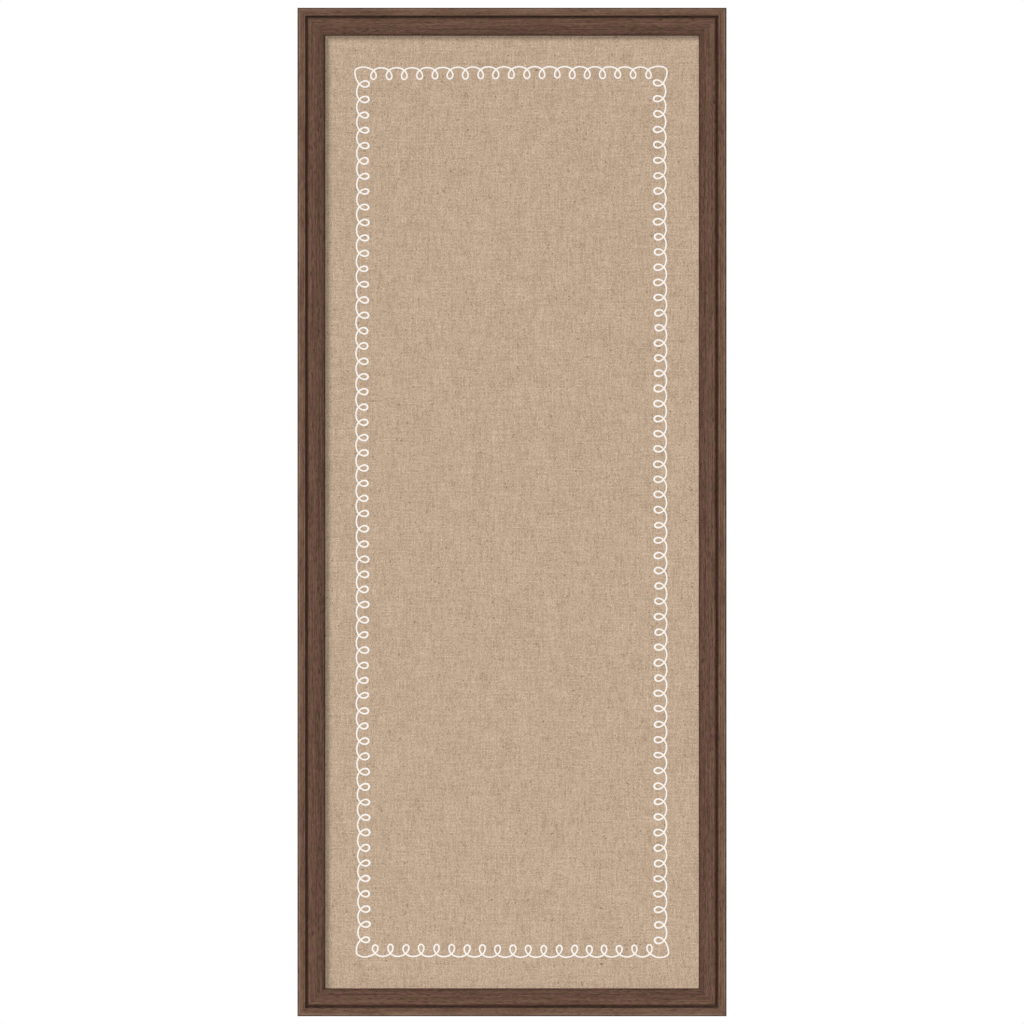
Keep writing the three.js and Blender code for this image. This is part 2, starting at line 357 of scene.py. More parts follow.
    def turn_and_move(self, turn: Place, to: Place) -> None:
        """Turns the piece about the origin, moves it, and applies both to its mesh."""
        self.select()
        self.obj.rotation_euler = tuple(turn)
        self.obj.location = tuple(to)
        run(bpy.ops.object.transform_apply)

    def dress(
        self, finish: Material, other: Material | None = None, other_faces: Test | None = None
    ) -> None:
        """Gives the piece its material, and a second one on some of its faces.

        Args:
            finish: The main material.
            other: The second material, if there is one.
            other_faces: Says which faces have the second material.
        """
        self.obj.data.materials.clear()
        self.obj.data.materials.append(finish)
        if other is None or other_faces is None:
            for face in self.obj.data.polygons:
                face.material_index = 0
            return
        self.obj.data.materials.append(other)
        for face in self.obj.data.polygons:
            face.material_index = int(other_faces(face.center, face.normal))

    def finish(self, body: str, slot: str, node: str) -> None:
        """Smooths the piece, and joins it to the frame.

        Args:
            body: The CAD body that it rides on.
            slot: The record's material slot. Not used.
            node: The CAD node that it stands for.
        """
        self.select()
        run(bpy.ops.object.shade_smooth_by_angle, angle=SMOOTH_BELOW)
        # Without this a rounded edge would shade the whole flat face beside it
        self.modify("WEIGHTED_NORMAL", keep_sharp=True)
        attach(self.obj, body)
        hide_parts(node)
        log.info("%s: %d faces, on %s", self.obj.name, len(self.obj.data.polygons), body)


class Grain(Enum):
    """The way the wood runs in a length of moulding."""

    ACROSS_BOARD = "rail"
    UP_BOARD = "stile"

    def sizes(self, streak: Streak) -> Sizes:
        """Gives a streak's sizes along the three axes.

        Args:
            streak: Its length along the grain, and its width across it.

        Returns:
            Its sizes along X, Y and Z.
        """
        length, width = streak
        if self is Grain.ACROSS_BOARD:
            return length, width, width
        return width, width, length


@dataclass(frozen=True)
class Finish:
    """A surface finish. Each kind names its real material and draws its own pattern."""

    name: str
    roughness: float
    ior: float = 1.45
    specular: float = 0.5
    metallic: float = 0.0
    # How strongly the surface's relief shows, and how deep it is
    relief: float = 0.25
    depth: float = 0.1 * MM

    def material(self) -> Material:
        """Builds the material once, and returns it each time after that."""
        made = bpy.data.materials.get(self.name)
        if made is not None:
            return made
        made = bpy.data.materials.new(self.name)
        made.use_nodes = True
        tree = made.node_tree
        tree.nodes.clear()
        gloss = {
            "Roughness": self.roughness,
            "IOR": self.ior,
            "Specular IOR Level": self.specular,
            "Metallic": self.metallic,
        }
        shader = add(tree, "BsdfPrincipled", gloss)
        add(tree, "OutputMaterial", {"Surface": shader})
        self.draw(tree, shader, add(tree, "TexCoord").outputs["Object"])
        return made

    def draw(self, tree: Tree, shader: Node, place: Socket) -> None:
        """Draws the finish's pattern.

        Args:
            tree: The material's nodes.
            shader: The shader whose sockets the pattern feeds.
            place: Object coordinates, in metres.
        """
        raise NotImplementedError

    def lay(self, tree: Tree, shader: Node, colour: Node, height: Node) -> None:
        """Gives the shader its pattern's colour and relief.

        Args:
            tree: The material's nodes.
            shader: The material's shader.
            colour: The last mix of colours.
            height: The height of the relief.
        """
        tree.links.new(colour.outputs[MIX_RESULT], shader.inputs["Base Color"])
        relief = {"Height": height, "Strength": self.relief, "Distance": self.depth}
        tree.links.new(add(tree, "Bump", relief).outputs[0], shader.inputs["Normal"])

    @staticmethod
    def patches(
        tree: Tree, place: Any, size: float | Sizes, detail: float, **settings: float
    ) -> Node:
        """Draws light and dark patches of a real size.

        Args:
            tree: The material's nodes.
            place: The place on the piece, in metres.
            size: A patch's size, or its sizes along X, Y and Z.
            detail: How many times finer patches are drawn in.
            **settings: Other inputs of the noise that draws them.

        Returns:
            The noise. Its first output goes from 0 to 1.
        """
        sizes = size if isinstance(size, tuple) else (size,) * 3
        scale = tuple(1 / each for each in sizes)
        drawn = add(tree, "VectorMath", {0: place, 1: scale}, operation="MULTIPLY")
        return add(tree, "TexNoise", {"Vector": drawn, "Scale": 1.0, "Detail": detail, **settings})

    @staticmethod
    def waves(tree: Tree, place: Any, spacing: float) -> bpy.types.NodeOutputs:
        """Draws waves along each axis, half a wave to each spacing.

        Args:
            tree: The material's nodes.
            place: The place on the piece.
            spacing: The distance between two places where a wave is level with 0.

        Returns:
            The three outputs X, Y and Z, from -1 to 1.
        """
        turns = add(tree, "VectorMath", {0: place, "Scale": HALF_TURN / spacing}, operation="SCALE")
        sines = add(tree, "VectorMath", {0: turns}, operation="SINE")
        return add(tree, "SeparateXYZ", {0: sines}).outputs


@dataclass(frozen=True)
class StainedWalnut(Finish):
    """Close-grained hardwood, wiped with a walnut stain and sealed with a dull clear coat.

    It gives the eye fine red and olive streaks along the grain, short dark pores, and stain
    that is darker in the groove, where it gathers and shade is painted in, and paler on the
    arrises, as thinned stain and a painted highlight.
    """

    name: str = "walnut_stained_hardwood"
    roughness: float = 0.62
    specular: float = 0.12
    grain: Grain = Grain.ACROSS_BOARD
    dark: str = "#402518"
    light: str = "#7A5C4C"
    red: str = "#6B4442"
    olive: str = "#5A4A2F"
    pore: str = "#1E120D"
    # Pale wood that thinned stain lets through, mixed in also as a painted highlight
    bare: str = "#CCAC8A"
    # The length of each kind of streak along the grain, and its width across it. Fibres are
    # 0.02 to 0.2 mm wide, too fine to show, so the finest streaks are 0.5 mm
    fibres: Streak = (36 * MM, 0.5 * MM)
    short_fibres: Streak = (5.2 * MM, 0.5 * MM)
    bands: Streak = (150 * MM, 3.4 * MM)
    tints: Streak = (7 * MM, 1.6 * MM)
    pores: Streak = (5 * MM, 0.5 * MM)
    # Patches along the grain where thinned stain and the painted highlight come and go
    rubbed: Streak = (34 * MM, 7 * MM)
    # How strongly each kind shows, beside the long fibres
    short_share: float = 1.2
    band_share: float = 0.25
    tint_share: float = 0.4
    pore_share: float = 0.6
    # The pale wood's share: thinned stain, and a painted highlight
    bare_share: float = 0.25

    def draw(self, tree: Tree, shader: Node, place: Socket) -> None:
        """Draws streaks, tints, pores, thinned stain, and painted highlight and shade. See
        Finish.draw for Args.
        """

        def streaks(streak: Streak, detail: float) -> Node:
            """Patches that are drawn out along the grain."""
            return self.patches(tree, place, self.grain.sizes(streak), detail, Roughness=0.7)

        fibre = streaks(self.fibres, 1)
        tone: Any = fibre
        for part, share in (
            (streaks(self.short_fibres, 2), self.short_share),
            (streaks(self.bands, 1), self.band_share),
        ):
            tone = add(tree, "Math", {0: part, 1: share, 2: tone}, operation="MULTIPLY_ADD")
        tone = add(tree, "MapRange", {"Value": tone, "From Min": 1.055, "From Max": 1.395})
        tint = streaks(self.tints, 1)
        sides = add(tree, "MapRange", {"Value": tint, "From Min": 0.35, "From Max": 0.65})
        hue = add(
            tree,
            "Mix",
            {0: sides, MIX_FIRST: srgb(self.olive), MIX_SECOND: srgb(self.red)},
            data_type="RGBA",
        )
        depths = {"Value": streaks(self.pores, 0), "From Min": 0.66, "From Max": 0.72}
        open_pores = add(tree, "MapRange", {**depths, "To Max": self.pore_share})

        wood: Any = srgb(self.dark)
        for share, over in (
            (tone, srgb(self.light)),
            (self.tint_share, hue.outputs[MIX_RESULT]),
            (open_pores, srgb(self.pore)),
        ):
            mix = {0: share, MIX_FIRST: wood, MIX_SECOND: over}
            wood = add(tree, "Mix", mix, data_type="RGBA").outputs[MIX_RESULT]

        # Up to 1 the value darkens the wood, as stain and painted shade; from 1 to 2 it mixes in
        # pale wood, as thinned stain and a painted highlight
        stain = add(tree, "Attribute", attribute_name="StainAndPaintedLight").outputs["Fac"]
        deep = add(tree, "Math", {0: stain, 1: 1.0}, operation="MINIMUM")
        toned = add(tree, "VectorMath", {0: wood, "Scale": deep}, operation="SCALE")
        wear_and_highlight = {"Value": stain, "From Min": 1.0, "From Max": 2.0}
        worn_and_highlight = add(tree, "MapRange", {**wear_and_highlight, "To Max": self.bare_share})
        uneven = {"Value": streaks(self.rubbed, 1), "From Min": 0.35, "From Max": 0.65}
        rubbed = add(tree, "MapRange", {**uneven, "To Min": 0.45, "To Max": 1.55})
        worn_and_highlight = add(tree, "Math", {0: worn_and_highlight, 1: rubbed}, operation="MULTIPLY")
        mix = {0: worn_and_highlight, MIX_FIRST: toned, MIX_SECOND: srgb(self.bare)}
        height = add(tree, "Math", {0: fibre, 1: open_pores}, operation="SUBTRACT")
        self.lay(tree, shader, add(tree, "Mix", mix, data_type="RGBA"), height)


@dataclass(frozen=True)
class RawHardwood(Finish):
    """The moulding's own pale wood, planed and left without stain.

    It gives the eye the plain working side of the frame: straw brown, dull, with faint grain.
    """

    name: str = "raw_planed_hardwood"
    roughness: float = 0.78
    relief: float = 0.3
    grain: Grain = Grain.ACROSS_BOARD
    dark: str = "#A07D58"
    light: str = "#CDB08A"
    # Pores are as fine as 0.1 mm, and are drawn as coarse as they need to show
    bands: Streak = (90 * MM, 1.6 * MM)
    pores: Streak = (6 * MM, 0.22 * MM)
    pore_share: float = 0.45

    def draw(self, tree: Tree, shader: Node, place: Socket) -> None:
        """Draws faint grain and short pores. See Finish.draw for Args."""
        bands = self.patches(tree, place, self.grain.sizes(self.bands), 4, Roughness=0.65)
        pores = self.patches(tree, place, self.grain.sizes(self.pores), 1)
        tone = add(tree, "Math", {0: pores, 1: self.pore_share, 2: bands}, operation="MULTIPLY_ADD")
        tone = add(tree, "MapRange", {"Value": tone, "From Min": 0.51, "From Max": 0.94})
        mix = {0: tone, MIX_FIRST: srgb(self.dark), MIX_SECOND: srgb(self.light)}
        self.lay(tree, shader, add(tree, "Mix", mix, data_type="RGBA"), bands)


@dataclass(frozen=True)
class NaturalLinen(Finish):
    """Plain-woven flax in its natural colour, neither bleached nor dyed.

    It gives the eye an oat-coloured cloth with uneven threads both ways, and brown flecks of
    straw that the spinning left in.
    """

    name: str = "natural_linen_plain_weave"
    roughness: float = 0.92
    specular: float = 0.1
    relief: float = 0.3
    depth: float = 0.25 * MM
    dark: str = "#8E755E"
    light: str = "#E3CAB1"
    fleck: str = "#5E4633"
    # Between two threads. Such linen has 8 or 9 a centimetre
    thread: float = 1.18 * MM
    # Threads wander by some tenths of a millimetre, so that they make no regular pattern. The
    # noise that moves them seldom uses more than half of this
    wander: float = 1.6 * MM
    wander_length: float = 22 * MM
    # How long a thread keeps its tone
    slub: float = 14 * MM
    fuzz: float = 0.85 * MM
    cloud: Sizes = (16 * MM, 16 * MM, 50 * MM)
    straw: float = 1.7 * MM
    # Flax fibres are 0.02 mm wide, too fine to show, so they are drawn coarser
    fibre: Streak = (1.8 * MM, 0.14 * MM)
    # Odd steps from thread to thread, so that neighbours have nothing in common
    apart: Sizes = (17.31, 0.0, 13.73)
    weft_start: float = 5.5
    # How round a thread's back is along it, where 1 is as round as across it
    round_along: float = 0.3
    fibre_height: float = 0.3

    def draw(self, tree: Tree, shader: Node, place: Socket) -> None:
        """Draws threads, slubs, fibres and flecks. See Finish.draw for Args."""
        sway = self.patches(tree, place, self.wander_length, 1).outputs["Color"]
        moved = {0: sway, 1: (self.wander,) * 3, 2: place}
        wander = add(tree, "VectorMath", moved, operation="MULTIPLY_ADD")
        count = add(tree, "VectorMath", {0: wander, "Scale": 1 / self.thread}, operation="SCALE")
        numbers = add(tree, "VectorMath", {0: count}, operation="FLOOR")
        whole = add(tree, "SeparateXYZ", {0: numbers}).outputs
        steps = add(tree, "VectorMath", {0: numbers, 1: self.apart}, operation="MULTIPLY")
        step = add(tree, "SeparateXYZ", {0: steps}).outputs
        lengths = add(tree, "VectorMath", {0: place, "Scale": 1 / self.slub}, operation="SCALE")
        along = add(tree, "SeparateXYZ", {0: lengths}).outputs
        upright = add(tree, "CombineXYZ", {0: step["X"], 1: along["Z"]})
        level = add(tree, "CombineXYZ", {0: along["X"], 1: step["Z"], 2: self.weft_start})
        crossing = add(tree, "CombineXYZ", {0: whole["X"], 1: whole["Z"]})

        # Over and under by turns. The thread on top shows its round back and its own fibres; in the
        # tone the back is darker towards its edges and between threads, as painted shade
        waves = self.waves(tree, count, 1)
        parity = add(tree, "Math", {0: waves["X"], 1: waves["Z"]}, operation="MULTIPLY")
        warp_on_top = add(tree, "Math", {0: parity, 1: 0.0}, operation="GREATER_THAN")
        beside = add(tree, "Math", {0: waves["X"]}, operation="ABSOLUTE")
        above = add(tree, "Math", {0: waves["Z"]}, operation="ABSOLUTE")

        def back(round_way: Node, long_way: Node) -> Node:
            """The back of one thread, round across it and nearly level along it."""
            ends = add(tree, "Math", {0: long_way, 1: self.round_along}, operation="POWER")
            return add(tree, "Math", {0: round_way, 1: ends}, operation="MULTIPLY")

        backs = {2: back(above, beside), 3: back(beside, above)}
        weave = add(tree, "Mix", {0: warp_on_top, **backs})
        long, thin = self.fibre
        spun = {
            2: self.patches(tree, place, (long, thin, thin), 1),
            3: self.patches(tree, place, (thin, thin, long), 1),
        }
        fibres = add(tree, "Mix", {0: warp_on_top, **spun})

        # Each pattern, and its share in the cloth's tone
        parts = (
            (add(tree, "TexWhiteNoise", {"Vector": crossing}), 0.12),
            (self.patches(tree, place, self.fuzz, 0), 0.88),
            (add(tree, "TexNoise", {"Vector": upright, "Scale": 1.0, "Detail": 2}), 0.5),
            (add(tree, "TexNoise", {"Vector": level, "Scale": 1.0, "Detail": 2}), 0.33),
            (self.patches(tree, place, self.cloud, 2), 0.12),
            (fibres, 0.4),
            # The threads' backs, darker at their edges and in the gaps, as painted shade
            (weave, 0.24),
        )
        tone: Any = 0.5 - sum(share for _, share in parts) / 2
        for part, share in parts:
            tone = add(tree, "Math", {0: part, 1: share, 2: tone}, operation="MULTIPLY_ADD")
        mix = {0: tone, MIX_FIRST: srgb(self.dark), MIX_SECOND: srgb(self.light)}
        cloth = add(tree, "Mix", mix, data_type="RGBA").outputs[MIX_RESULT]
        bits = {"Value": self.patches(tree, place, self.straw, 0), "From Min": 0.79}
        straw = add(tree, "MapRange", {**bits, "From Max": 0.84, "To Max": 0.55})
        mix = {0: straw, MIX_FIRST: cloth, MIX_SECOND: srgb(self.fleck)}
        relief = {0: fibres, 1: self.fibre_height, 2: weave}
        height = add(tree, "Math", relief, operation="MULTIPLY_ADD")
        self.lay(tree, shader, add(tree, "Mix", mix, data_type="RGBA"), height)


@dataclass(frozen=True)
class ScreenInk(Finish):
    """White water-based ink, screen-printed on cloth.

    It gives the eye a soft, slightly broken white line in which the weave just shows.
    """

    name: str = "white_screen_ink"
    roughness: float = 0.8
    relief: float = 0.2
    thin: str = "#EDE4DA"
    full: str = "#FBF6F0"
    # As wide as a thread of the cloth, over which the ink lies thick or thin
    patch: float = 1.2 * MM

    def draw(self, tree: Tree, shader: Node, place: Socket) -> None:
        """Draws thinner ink here and there. See Finish.draw for Args."""
        cover = self.patches(tree, place, self.patch, 2)
        tone = add(tree, "MapRange", {"Value": cover, "From Min": 0.3, "From Max": 0.5})
        mix = {0: tone, MIX_FIRST: srgb(self.thin), MIX_SECOND: srgb(self.full)}
        self.lay(tree, shader, add(tree, "Mix", mix, data_type="RGBA"), cover)


@dataclass(frozen=True)
class PressedFibre(Finish):
    """Wood fibre pressed into a board: soft fibreboard, or hardboard with a mesh-marked back.

    It gives the eye a brown felt of short fibres, and on hardboard the small square marks of
    the wire screen that it was pressed on.
    """

    name: str = "hardboard_screen_back"
    roughness: float = 0.75
    relief: float = 0.4
    depth: float = 0.2 * MM
    dark: str = "#55391F"
    light: str = "#8A6A48"
    # Bundles of fibre are 1 to 2 mm long
    bundle: float = 1.5 * MM
    cloud: float = 40 * MM
    cloud_share: float = 0.3
    # Wire screens have a mesh of about 1.5 mm. Soft fibreboard has no marks
    screen: float = 1.6 * MM
    marks: float = 0.35

    def draw(self, tree: Tree, shader: Node, place: Socket) -> None:
        """Draws fibres and the screen's marks. See Finish.draw for Args."""
        fibre = self.patches(tree, place, self.bundle, 3, Roughness=0.7, Distortion=1.5)
        cloud = self.patches(tree, place, self.cloud, 2)
        waves = self.waves(tree, place, self.screen)
        mesh = add(tree, "Math", {0: waves["X"], 1: waves["Z"]}, operation="MULTIPLY")
        pits = add(tree, "Math", {0: mesh}, operation="ABSOLUTE")
        tone: Any = fibre
        for part, share in ((cloud, self.cloud_share), (pits, self.marks)):
            tone = add(tree, "Math", {0: part, 1: share, 2: tone}, operation="MULTIPLY_ADD")
        tone = add(tree, "MapRange", {"Value": tone, "From Min": 0.37, "From Max": 1.17})
        mix = {0: tone, MIX_FIRST: srgb(self.dark), MIX_SECOND: srgb(self.light)}
        height = add(tree, "Math", {0: pits, 1: self.marks, 2: fibre}, operation="MULTIPLY_ADD")
        self.lay(tree, shader, add(tree, "Mix", mix, data_type="RGBA"), height)


@dataclass(frozen=True)
class ZincPlate(Finish):
    """Mild steel with bright zinc plating, barrel plated.

    It gives the eye a pale blue-grey metal with soft, slightly cloudy reflections.
    """

    # Not the slot's name, which the frame's own plain material has
    name: str = "bright_zinc_on_mild_steel"
    roughness: float = 0.36
    metallic: float = 1.0
    # Blender's default, as for any metal
    ior: float = 1.5
    relief: float = 0.08
    depth: float = 0.05 * MM
    dull: str = "#858B91"
    bright: str = "#ABB1B6"
    # The plating's spangle is finer than the render shows, so its clouds are 2.5 mm
    cloud: float = 2.5 * MM

    def draw(self, tree: Tree, shader: Node, place: Socket) -> None:
        """Draws the plating's clouds. See Finish.draw for Args."""
        cloud = self.patches(tree, place, self.cloud, 3)
        shine = {"Value": cloud, "From Min": 0.3, "From Max": 0.7, "To Min": 0.28, "To Max": 0.46}
        gloss = add(tree, "MapRange", shine)
        tree.links.new(gloss.outputs[0], shader.inputs["Roughness"])
        mix = {0: cloud, MIX_FIRST: srgb(self.dull), MIX_SECOND: srgb(self.bright)}
        self.lay(tree, shader, add(tree, "Mix", mix, data_type="RGBA"), cloud)


@dataclass(frozen=True)
class MouldedRubber(Finish):
    """Black-brown moulded rubber.

    It gives the eye a dark, dull bumper with a fine moulded grain.
    """

    name: str = "moulded_rubber"
    roughness: float = 0.7
    ior: float = 1.5
    dark: str = "#332F2C"
    light: str = "#433E3A"
    # The mould's own grain is finer, too fine to show
    grain: float = 0.8 * MM

    def draw(self, tree: Tree, shader: Node, place: Socket) -> None:
        """Draws the moulded grain. See Finish.draw for Args."""
        grain = self.patches(tree, place, self.grain, 2)
        mix = {0: grain, MIX_FIRST: srgb(self.dark), MIX_SECOND: srgb(self.light)}
        self.lay(tree, shader, add(tree, "Mix", mix, data_type="RGBA"), grain)


class Side(Enum):
    """A side of the frame, as seen from the front. Its value is its CAD node."""

    TOP = "top_rail"
    RIGHT = "right_stile"
    BOTTOM = "bottom_rail"
    LEFT = "left_stile"

    @property
    def word(self) -> str:
        """The side's own word in the names of its nails."""
        return self.value.split("_")[0]

    @property
    def outward(self) -> Vector:
        """The direction from the board's middle to this side."""
        return Vector(
            {
                Side.TOP: (0, 0, 1),
                Side.RIGHT: (1, 0, 0),
                Side.BOTTOM: (0, 0, -1),
                Side.LEFT: (-1, 0, 0),
            }[self]
        )

    @property
    def turn(self) -> float:
        """The turn about Y that takes the top rail to this side."""
        return math.atan2(self.outward.x, self.outward.z)

    @property
    def grain(self) -> Grain:
        """The way the wood runs in this side."""
        return Grain.UP_BOARD if self.outward.x else Grain.ACROSS_BOARD


class Hand(Enum):
    """The left or the right one of a pair, as seen from the front."""

    LEFT = "left"
    RIGHT = "right"


@dataclass
class MouldingFrame:
    """Four lengths of one moulding, mitred at the corners, with pockets for what holds them."""

    face_width: float = 21.9 * MM
    land_width: float = 15.4 * MM
    rebate_depth: float = 14.85 * MM
    bead_width: float = 6.2 * MM
    bead_top: float = 20.85 * MM
    bead_round: float = 0.35 * MM
    outer_round: float = 1.2 * MM
    groove_width: float = 1.7 * MM
    shoulder_round: float = 2.2 * MM
    crown_top: float = 20.15 * MM
    crown_radius: float = 68 * MM
    sight_round: float = 0.8 * MM
    back_arris: float = 0.6 * MM
    overrun: float = 2 * MM
    # How far off a point may lie and still be at a place in the section
    near: float = 0.02 * MM
    pocket_play: float = 0.2 * MM
    pilot_radius: float = 1.7 * MM
    # What has no stain: a face that looks both ways like a mitre or turns to the back, and all
    # that lies deeper than this under the outer side, behind the rebate's front
    mitre_way: float = 0.6
    back_way: float = 0.3
    stained_skin: float = 0.3 * MM
    # How far the groove's stain and painted shade reach past the groove's wall, and past its floor
    groove_margin: float = 1 * MM
    # How far from the outer edge the crown, the bead and the groove are given edges, for the
    # crown's fall and for the stain with its painted highlight and shade
    crown_cuts: tuple[float, ...] = (
        11 * MM, 11.8 * MM, 12.6 * MM, 14.2 * MM, 15.7 * MM, 17.3 * MM, 18.5 * MM,
        19.7 * MM, 20.6 * MM,
    )
    bead_cuts: tuple[float, ...] = (1.6 * MM, 2.3 * MM, 4.2 * MM, 4.9 * MM)
    groove_cuts: tuple[float, ...] = (7 * MM,)
    # How much colour the stain keeps at a distance from the outer edge, in mm, with painted light
    # in it: a painted highlight on the outer arris and the bead, painted shade at the outer and
    # sight edges, and painted light and shade across the crown
    stain_across: tuple[tuple[float, float], ...] = (
        (0.0, 0.6), (0.8, 0.75), (1.6, 1.85), (2.3, 1.16), (4.2, 1.28), (4.9, 1.0), (5.7, 1.45),
        (6.2, 1.3), (8.3, 0.88), (8.8, 1.0), (9.4, 0.92), (10.1, 1.14), (11.0, 1.05),
        (11.8, 0.94), (12.6, 1.13), (14.2, 0.93), (15.7, 1.02), (17.3, 0.82), (18.5, 0.93),
        (19.7, 0.82), (20.6, 0.75), (21.3, 0.6), (21.9, 0.5),
    )
    # The same in the groove, where stain gathers and where shade is painted in
    stain_in_groove: tuple[tuple[float, float], ...] = (
        (6.2, 0.85), (7.0, 0.3), (7.9, 0.55), (8.3, 0.8), (8.8, 1.0),
    )

    def crown_drop(self, across: float) -> float:
        """Gives how far the crown has fallen at a distance from the outer edge."""
        run_out = across - self.bead_width - self.groove_width - self.shoulder_round
        return max(run_out, 0) ** 2 / (2 * self.crown_radius)

    def straight_length(self, name: str, half: float) -> Workpiece:
        """Shapes one length, its outer back edge on the X axis and its ends mitred.

        Args:
            name: The piece's name.
            half: Half its length, along the outer edge.

        Returns:
            The length of moulding.
        """
        groove_end = self.bead_width + self.groove_width
        crown_start = groove_end + self.shoulder_round
        reach = half + self.overrun
        piece = Workpiece.block(
            name, (-reach, -self.rebate_depth, -self.land_width), (reach, 0, 0)
        )

        def along(across: float, height: float) -> Test:
            """Finds the long edges at a place in the section."""
            spot = Vector((0, -height, -across))
            return lambda at, way: (
                abs(way.x) > STRAIGHT and (Vector((0, at.y, at.z)) - spot).length < self.near
            )

        def front(low: float, high: float) -> Test:
            """Finds the faces that look forward between two distances from the outer edge."""
            return lambda at, way: way.y < -STRAIGHT and low < -at.z < high

        with piece.shaping():
            piece.pick(Pick.FACES, front(0, self.face_width))
            piece.extrude((0, self.rebate_depth - self.crown_top, 0))
            piece.pick(
                Pick.FACES, lambda at, way: way.z < -STRAIGHT and at.y < -self.rebate_depth
            )
            piece.extrude((0, 0, self.land_width - self.face_width))
            for edge in (self.bead_width, groove_end):
                piece.pick_all()
                piece.cut((0, 0, -edge), (0, 0, 1))
            piece.pick(Pick.FACES, front(0, self.bead_width))
            piece.extrude((0, self.crown_top - self.bead_top, 0))
            piece.pick(Pick.FACES, front(self.bead_width, groove_end))
            piece.extrude((0, self.shoulder_round, 0))

            for across, height, radius, steps in (
                (groove_end, self.crown_top, self.shoulder_round, 8),
                (0, self.bead_top, self.outer_round, 6),
                (self.bead_width, self.bead_top, self.bead_round, 3),
                (0, 0, self.back_arris, 1),
            ):
                piece.pick(Pick.EDGES, along(across, height))
                piece.bevel(radius, steps)

            for low, high, edges in (
                (0, self.bead_width, self.bead_cuts),
                (self.bead_width, groove_end, self.groove_cuts),
                (crown_start, self.face_width, self.crown_cuts),
            ):
                for edge in edges:
                    piece.pick(Pick.FACES, front(low, high))
                    piece.cut((0, 0, -edge), (0, 0, 1))
            for edge in (*self.crown_cuts, self.face_width):
                on_crown = Vector((0, -self.crown_top, -edge))
                piece.pick(
                    Pick.POINTS,
                    lambda at, way: (Vector((0, at.y, at.z)) - on_crown).length < self.near,
                )
                piece.move((0, self.crown_drop(edge), 0))
            sight = self.crown_top - self.crown_drop(self.face_width)
            piece.pick(Pick.EDGES, along(self.face_width, sight))
            piece.bevel(self.sight_round, steps=4)

            for end in (-1, 1):
                piece.pick_all()
                piece.cut((end * half, 0, 0), (end, 0, -1), clear=True)
        piece.face_out()
        return piece

    def pockets(self, side: Side) -> list[Workpiece]:
        """Shapes what is cut out of a side: its nail pockets, point slots and pilot hole.

        Args:
            side: The side of the frame.

        Returns:
            The cutting shapes.
        """
        tools = []
        for node in sorted(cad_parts):
            nail = node.startswith("v_nail") and side.word in node.split("_")
            if nail or node.startswith(f"framers_point_{side.value}"):
                tool = Workpiece.copy_of(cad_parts[node], "pocket")
                with tool.shaping():
                    tool.pick_all()
                    play = {"value": self.pocket_play, "use_even_offset": True}
                    run(bpy.ops.transform.shrink_fatten, **play)
                tools.append(tool)
        screw = f"hanger_screw_{side.word}"
        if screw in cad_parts:
            low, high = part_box(screw)
            foot = ((low.x + high.x) / 2, low.y - self.pocket_play, (low.z + high.z) / 2)
            depth = high.y - low.y
            tools.append(Workpiece.round_bar("pilot", self.pilot_radius, foot, depth, sides=24))
        return tools

    def stain(self, across: float, height: float) -> float:
        """Gives how much of its colour the stain keeps at a place in the section, with painted
        highlight and shade in it.

        Args:
            across: The distance from the outer edge.
            height: The distance from the back.

        Returns:
            A share of the full colour.
        """
        floor = self.crown_top - self.shoulder_round
        wall = self.bead_width + self.groove_width
        deep = self.bead_width - HAIR < across < wall + self.groove_margin
        low = floor - HAIR < height < floor + self.groove_margin
        steps = self.stain_in_groove if deep and low else self.stain_across
        across = min(max(across / MM, steps[0][0]), steps[-1][0])
        for (start, first), (end, last) in zip(steps, steps[1:]):
            if across <= end:
                return first + (last - first) * (across - start) / (end - start)
        return steps[-1][1]

    def build(self) -> None:
        """Builds the four sides, dresses them and joins them to the board."""
        for side in Side:
            low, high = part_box(side.value)
            middle = (low + high) / 2
            size = high - low
            upright = side.grain is Grain.UP_BOARD
            half = (size.z if upright else size.x) / 2
            out = side.outward
            edge = Vector((middle.x + out.x * size.x / 2, 0, middle.z + out.z * size.z / 2))
            piece = self.straight_length(side.value.replace("_", "_moulding_"), half)
            piece.turn_and_move((0, side.turn, 0), edge)
            piece.subtract(*self.pockets(side))
            piece.face_out()

            def across_of(at: Vector) -> float:
                """Gives a point's distance from the side's outer edge."""
                return (edge - at).dot(out)

            def is_raw(at: Vector, way: Vector) -> bool:
                """Finds the back, the rebate, the mitres and the pockets."""
                mitre = min(abs(way.x), abs(way.z)) > self.mitre_way
                behind = way.y > self.back_way
                inside = across_of(at) > self.stained_skin and -at.y < self.rebate_depth
                return mitre or behind or inside

            # The stain with its painted highlight and shade, as a value at each point
            layer = piece.obj.data.attributes.new("StainAndPaintedLight", "FLOAT", "POINT")
            for point, value in zip(piece.obj.data.vertices, layer.data):
                value.value = self.stain(across_of(point.co), -point.co.y)
            stained, raw = (
                kind(name=f"{kind.name}_{side.grain.value}", grain=side.grain).material()
                for kind in (StainedWalnut, RawHardwood)
            )
            piece.dress(stained, raw, is_raw)
            piece.finish("board", "walnut_moulding", side.value)


class Corner(Enum):
    """A corner of the printed line, in the way that the pen goes round the board."""

    TOP_LEFT = "top_left"
    TOP_RIGHT = "top_right"
    BOTTOM_RIGHT = "bottom_right"
    BOTTOM_LEFT = "bottom_left"


@dataclass(frozen=True)
class PrintedSide:
    """One side of the printed line, in the way that the pen goes round the board."""

    loops: int
    # From the linen's middle to the outer arcs
    edge: float
    # From the corner before to the first loop, and from the last loop to the corner after
    before: float
    after: float
    # How far a loop reaches inwards, and how far the pen swings either way
    depth: float
    swing: float
    # How much wider the line gets at a loop's tip, as a share
    swell: float
    # In mm at even steps along the side: how far the hand is ahead, and how far inside the edge
    ahead: tuple[float, ...]
    inset: tuple[float, ...]


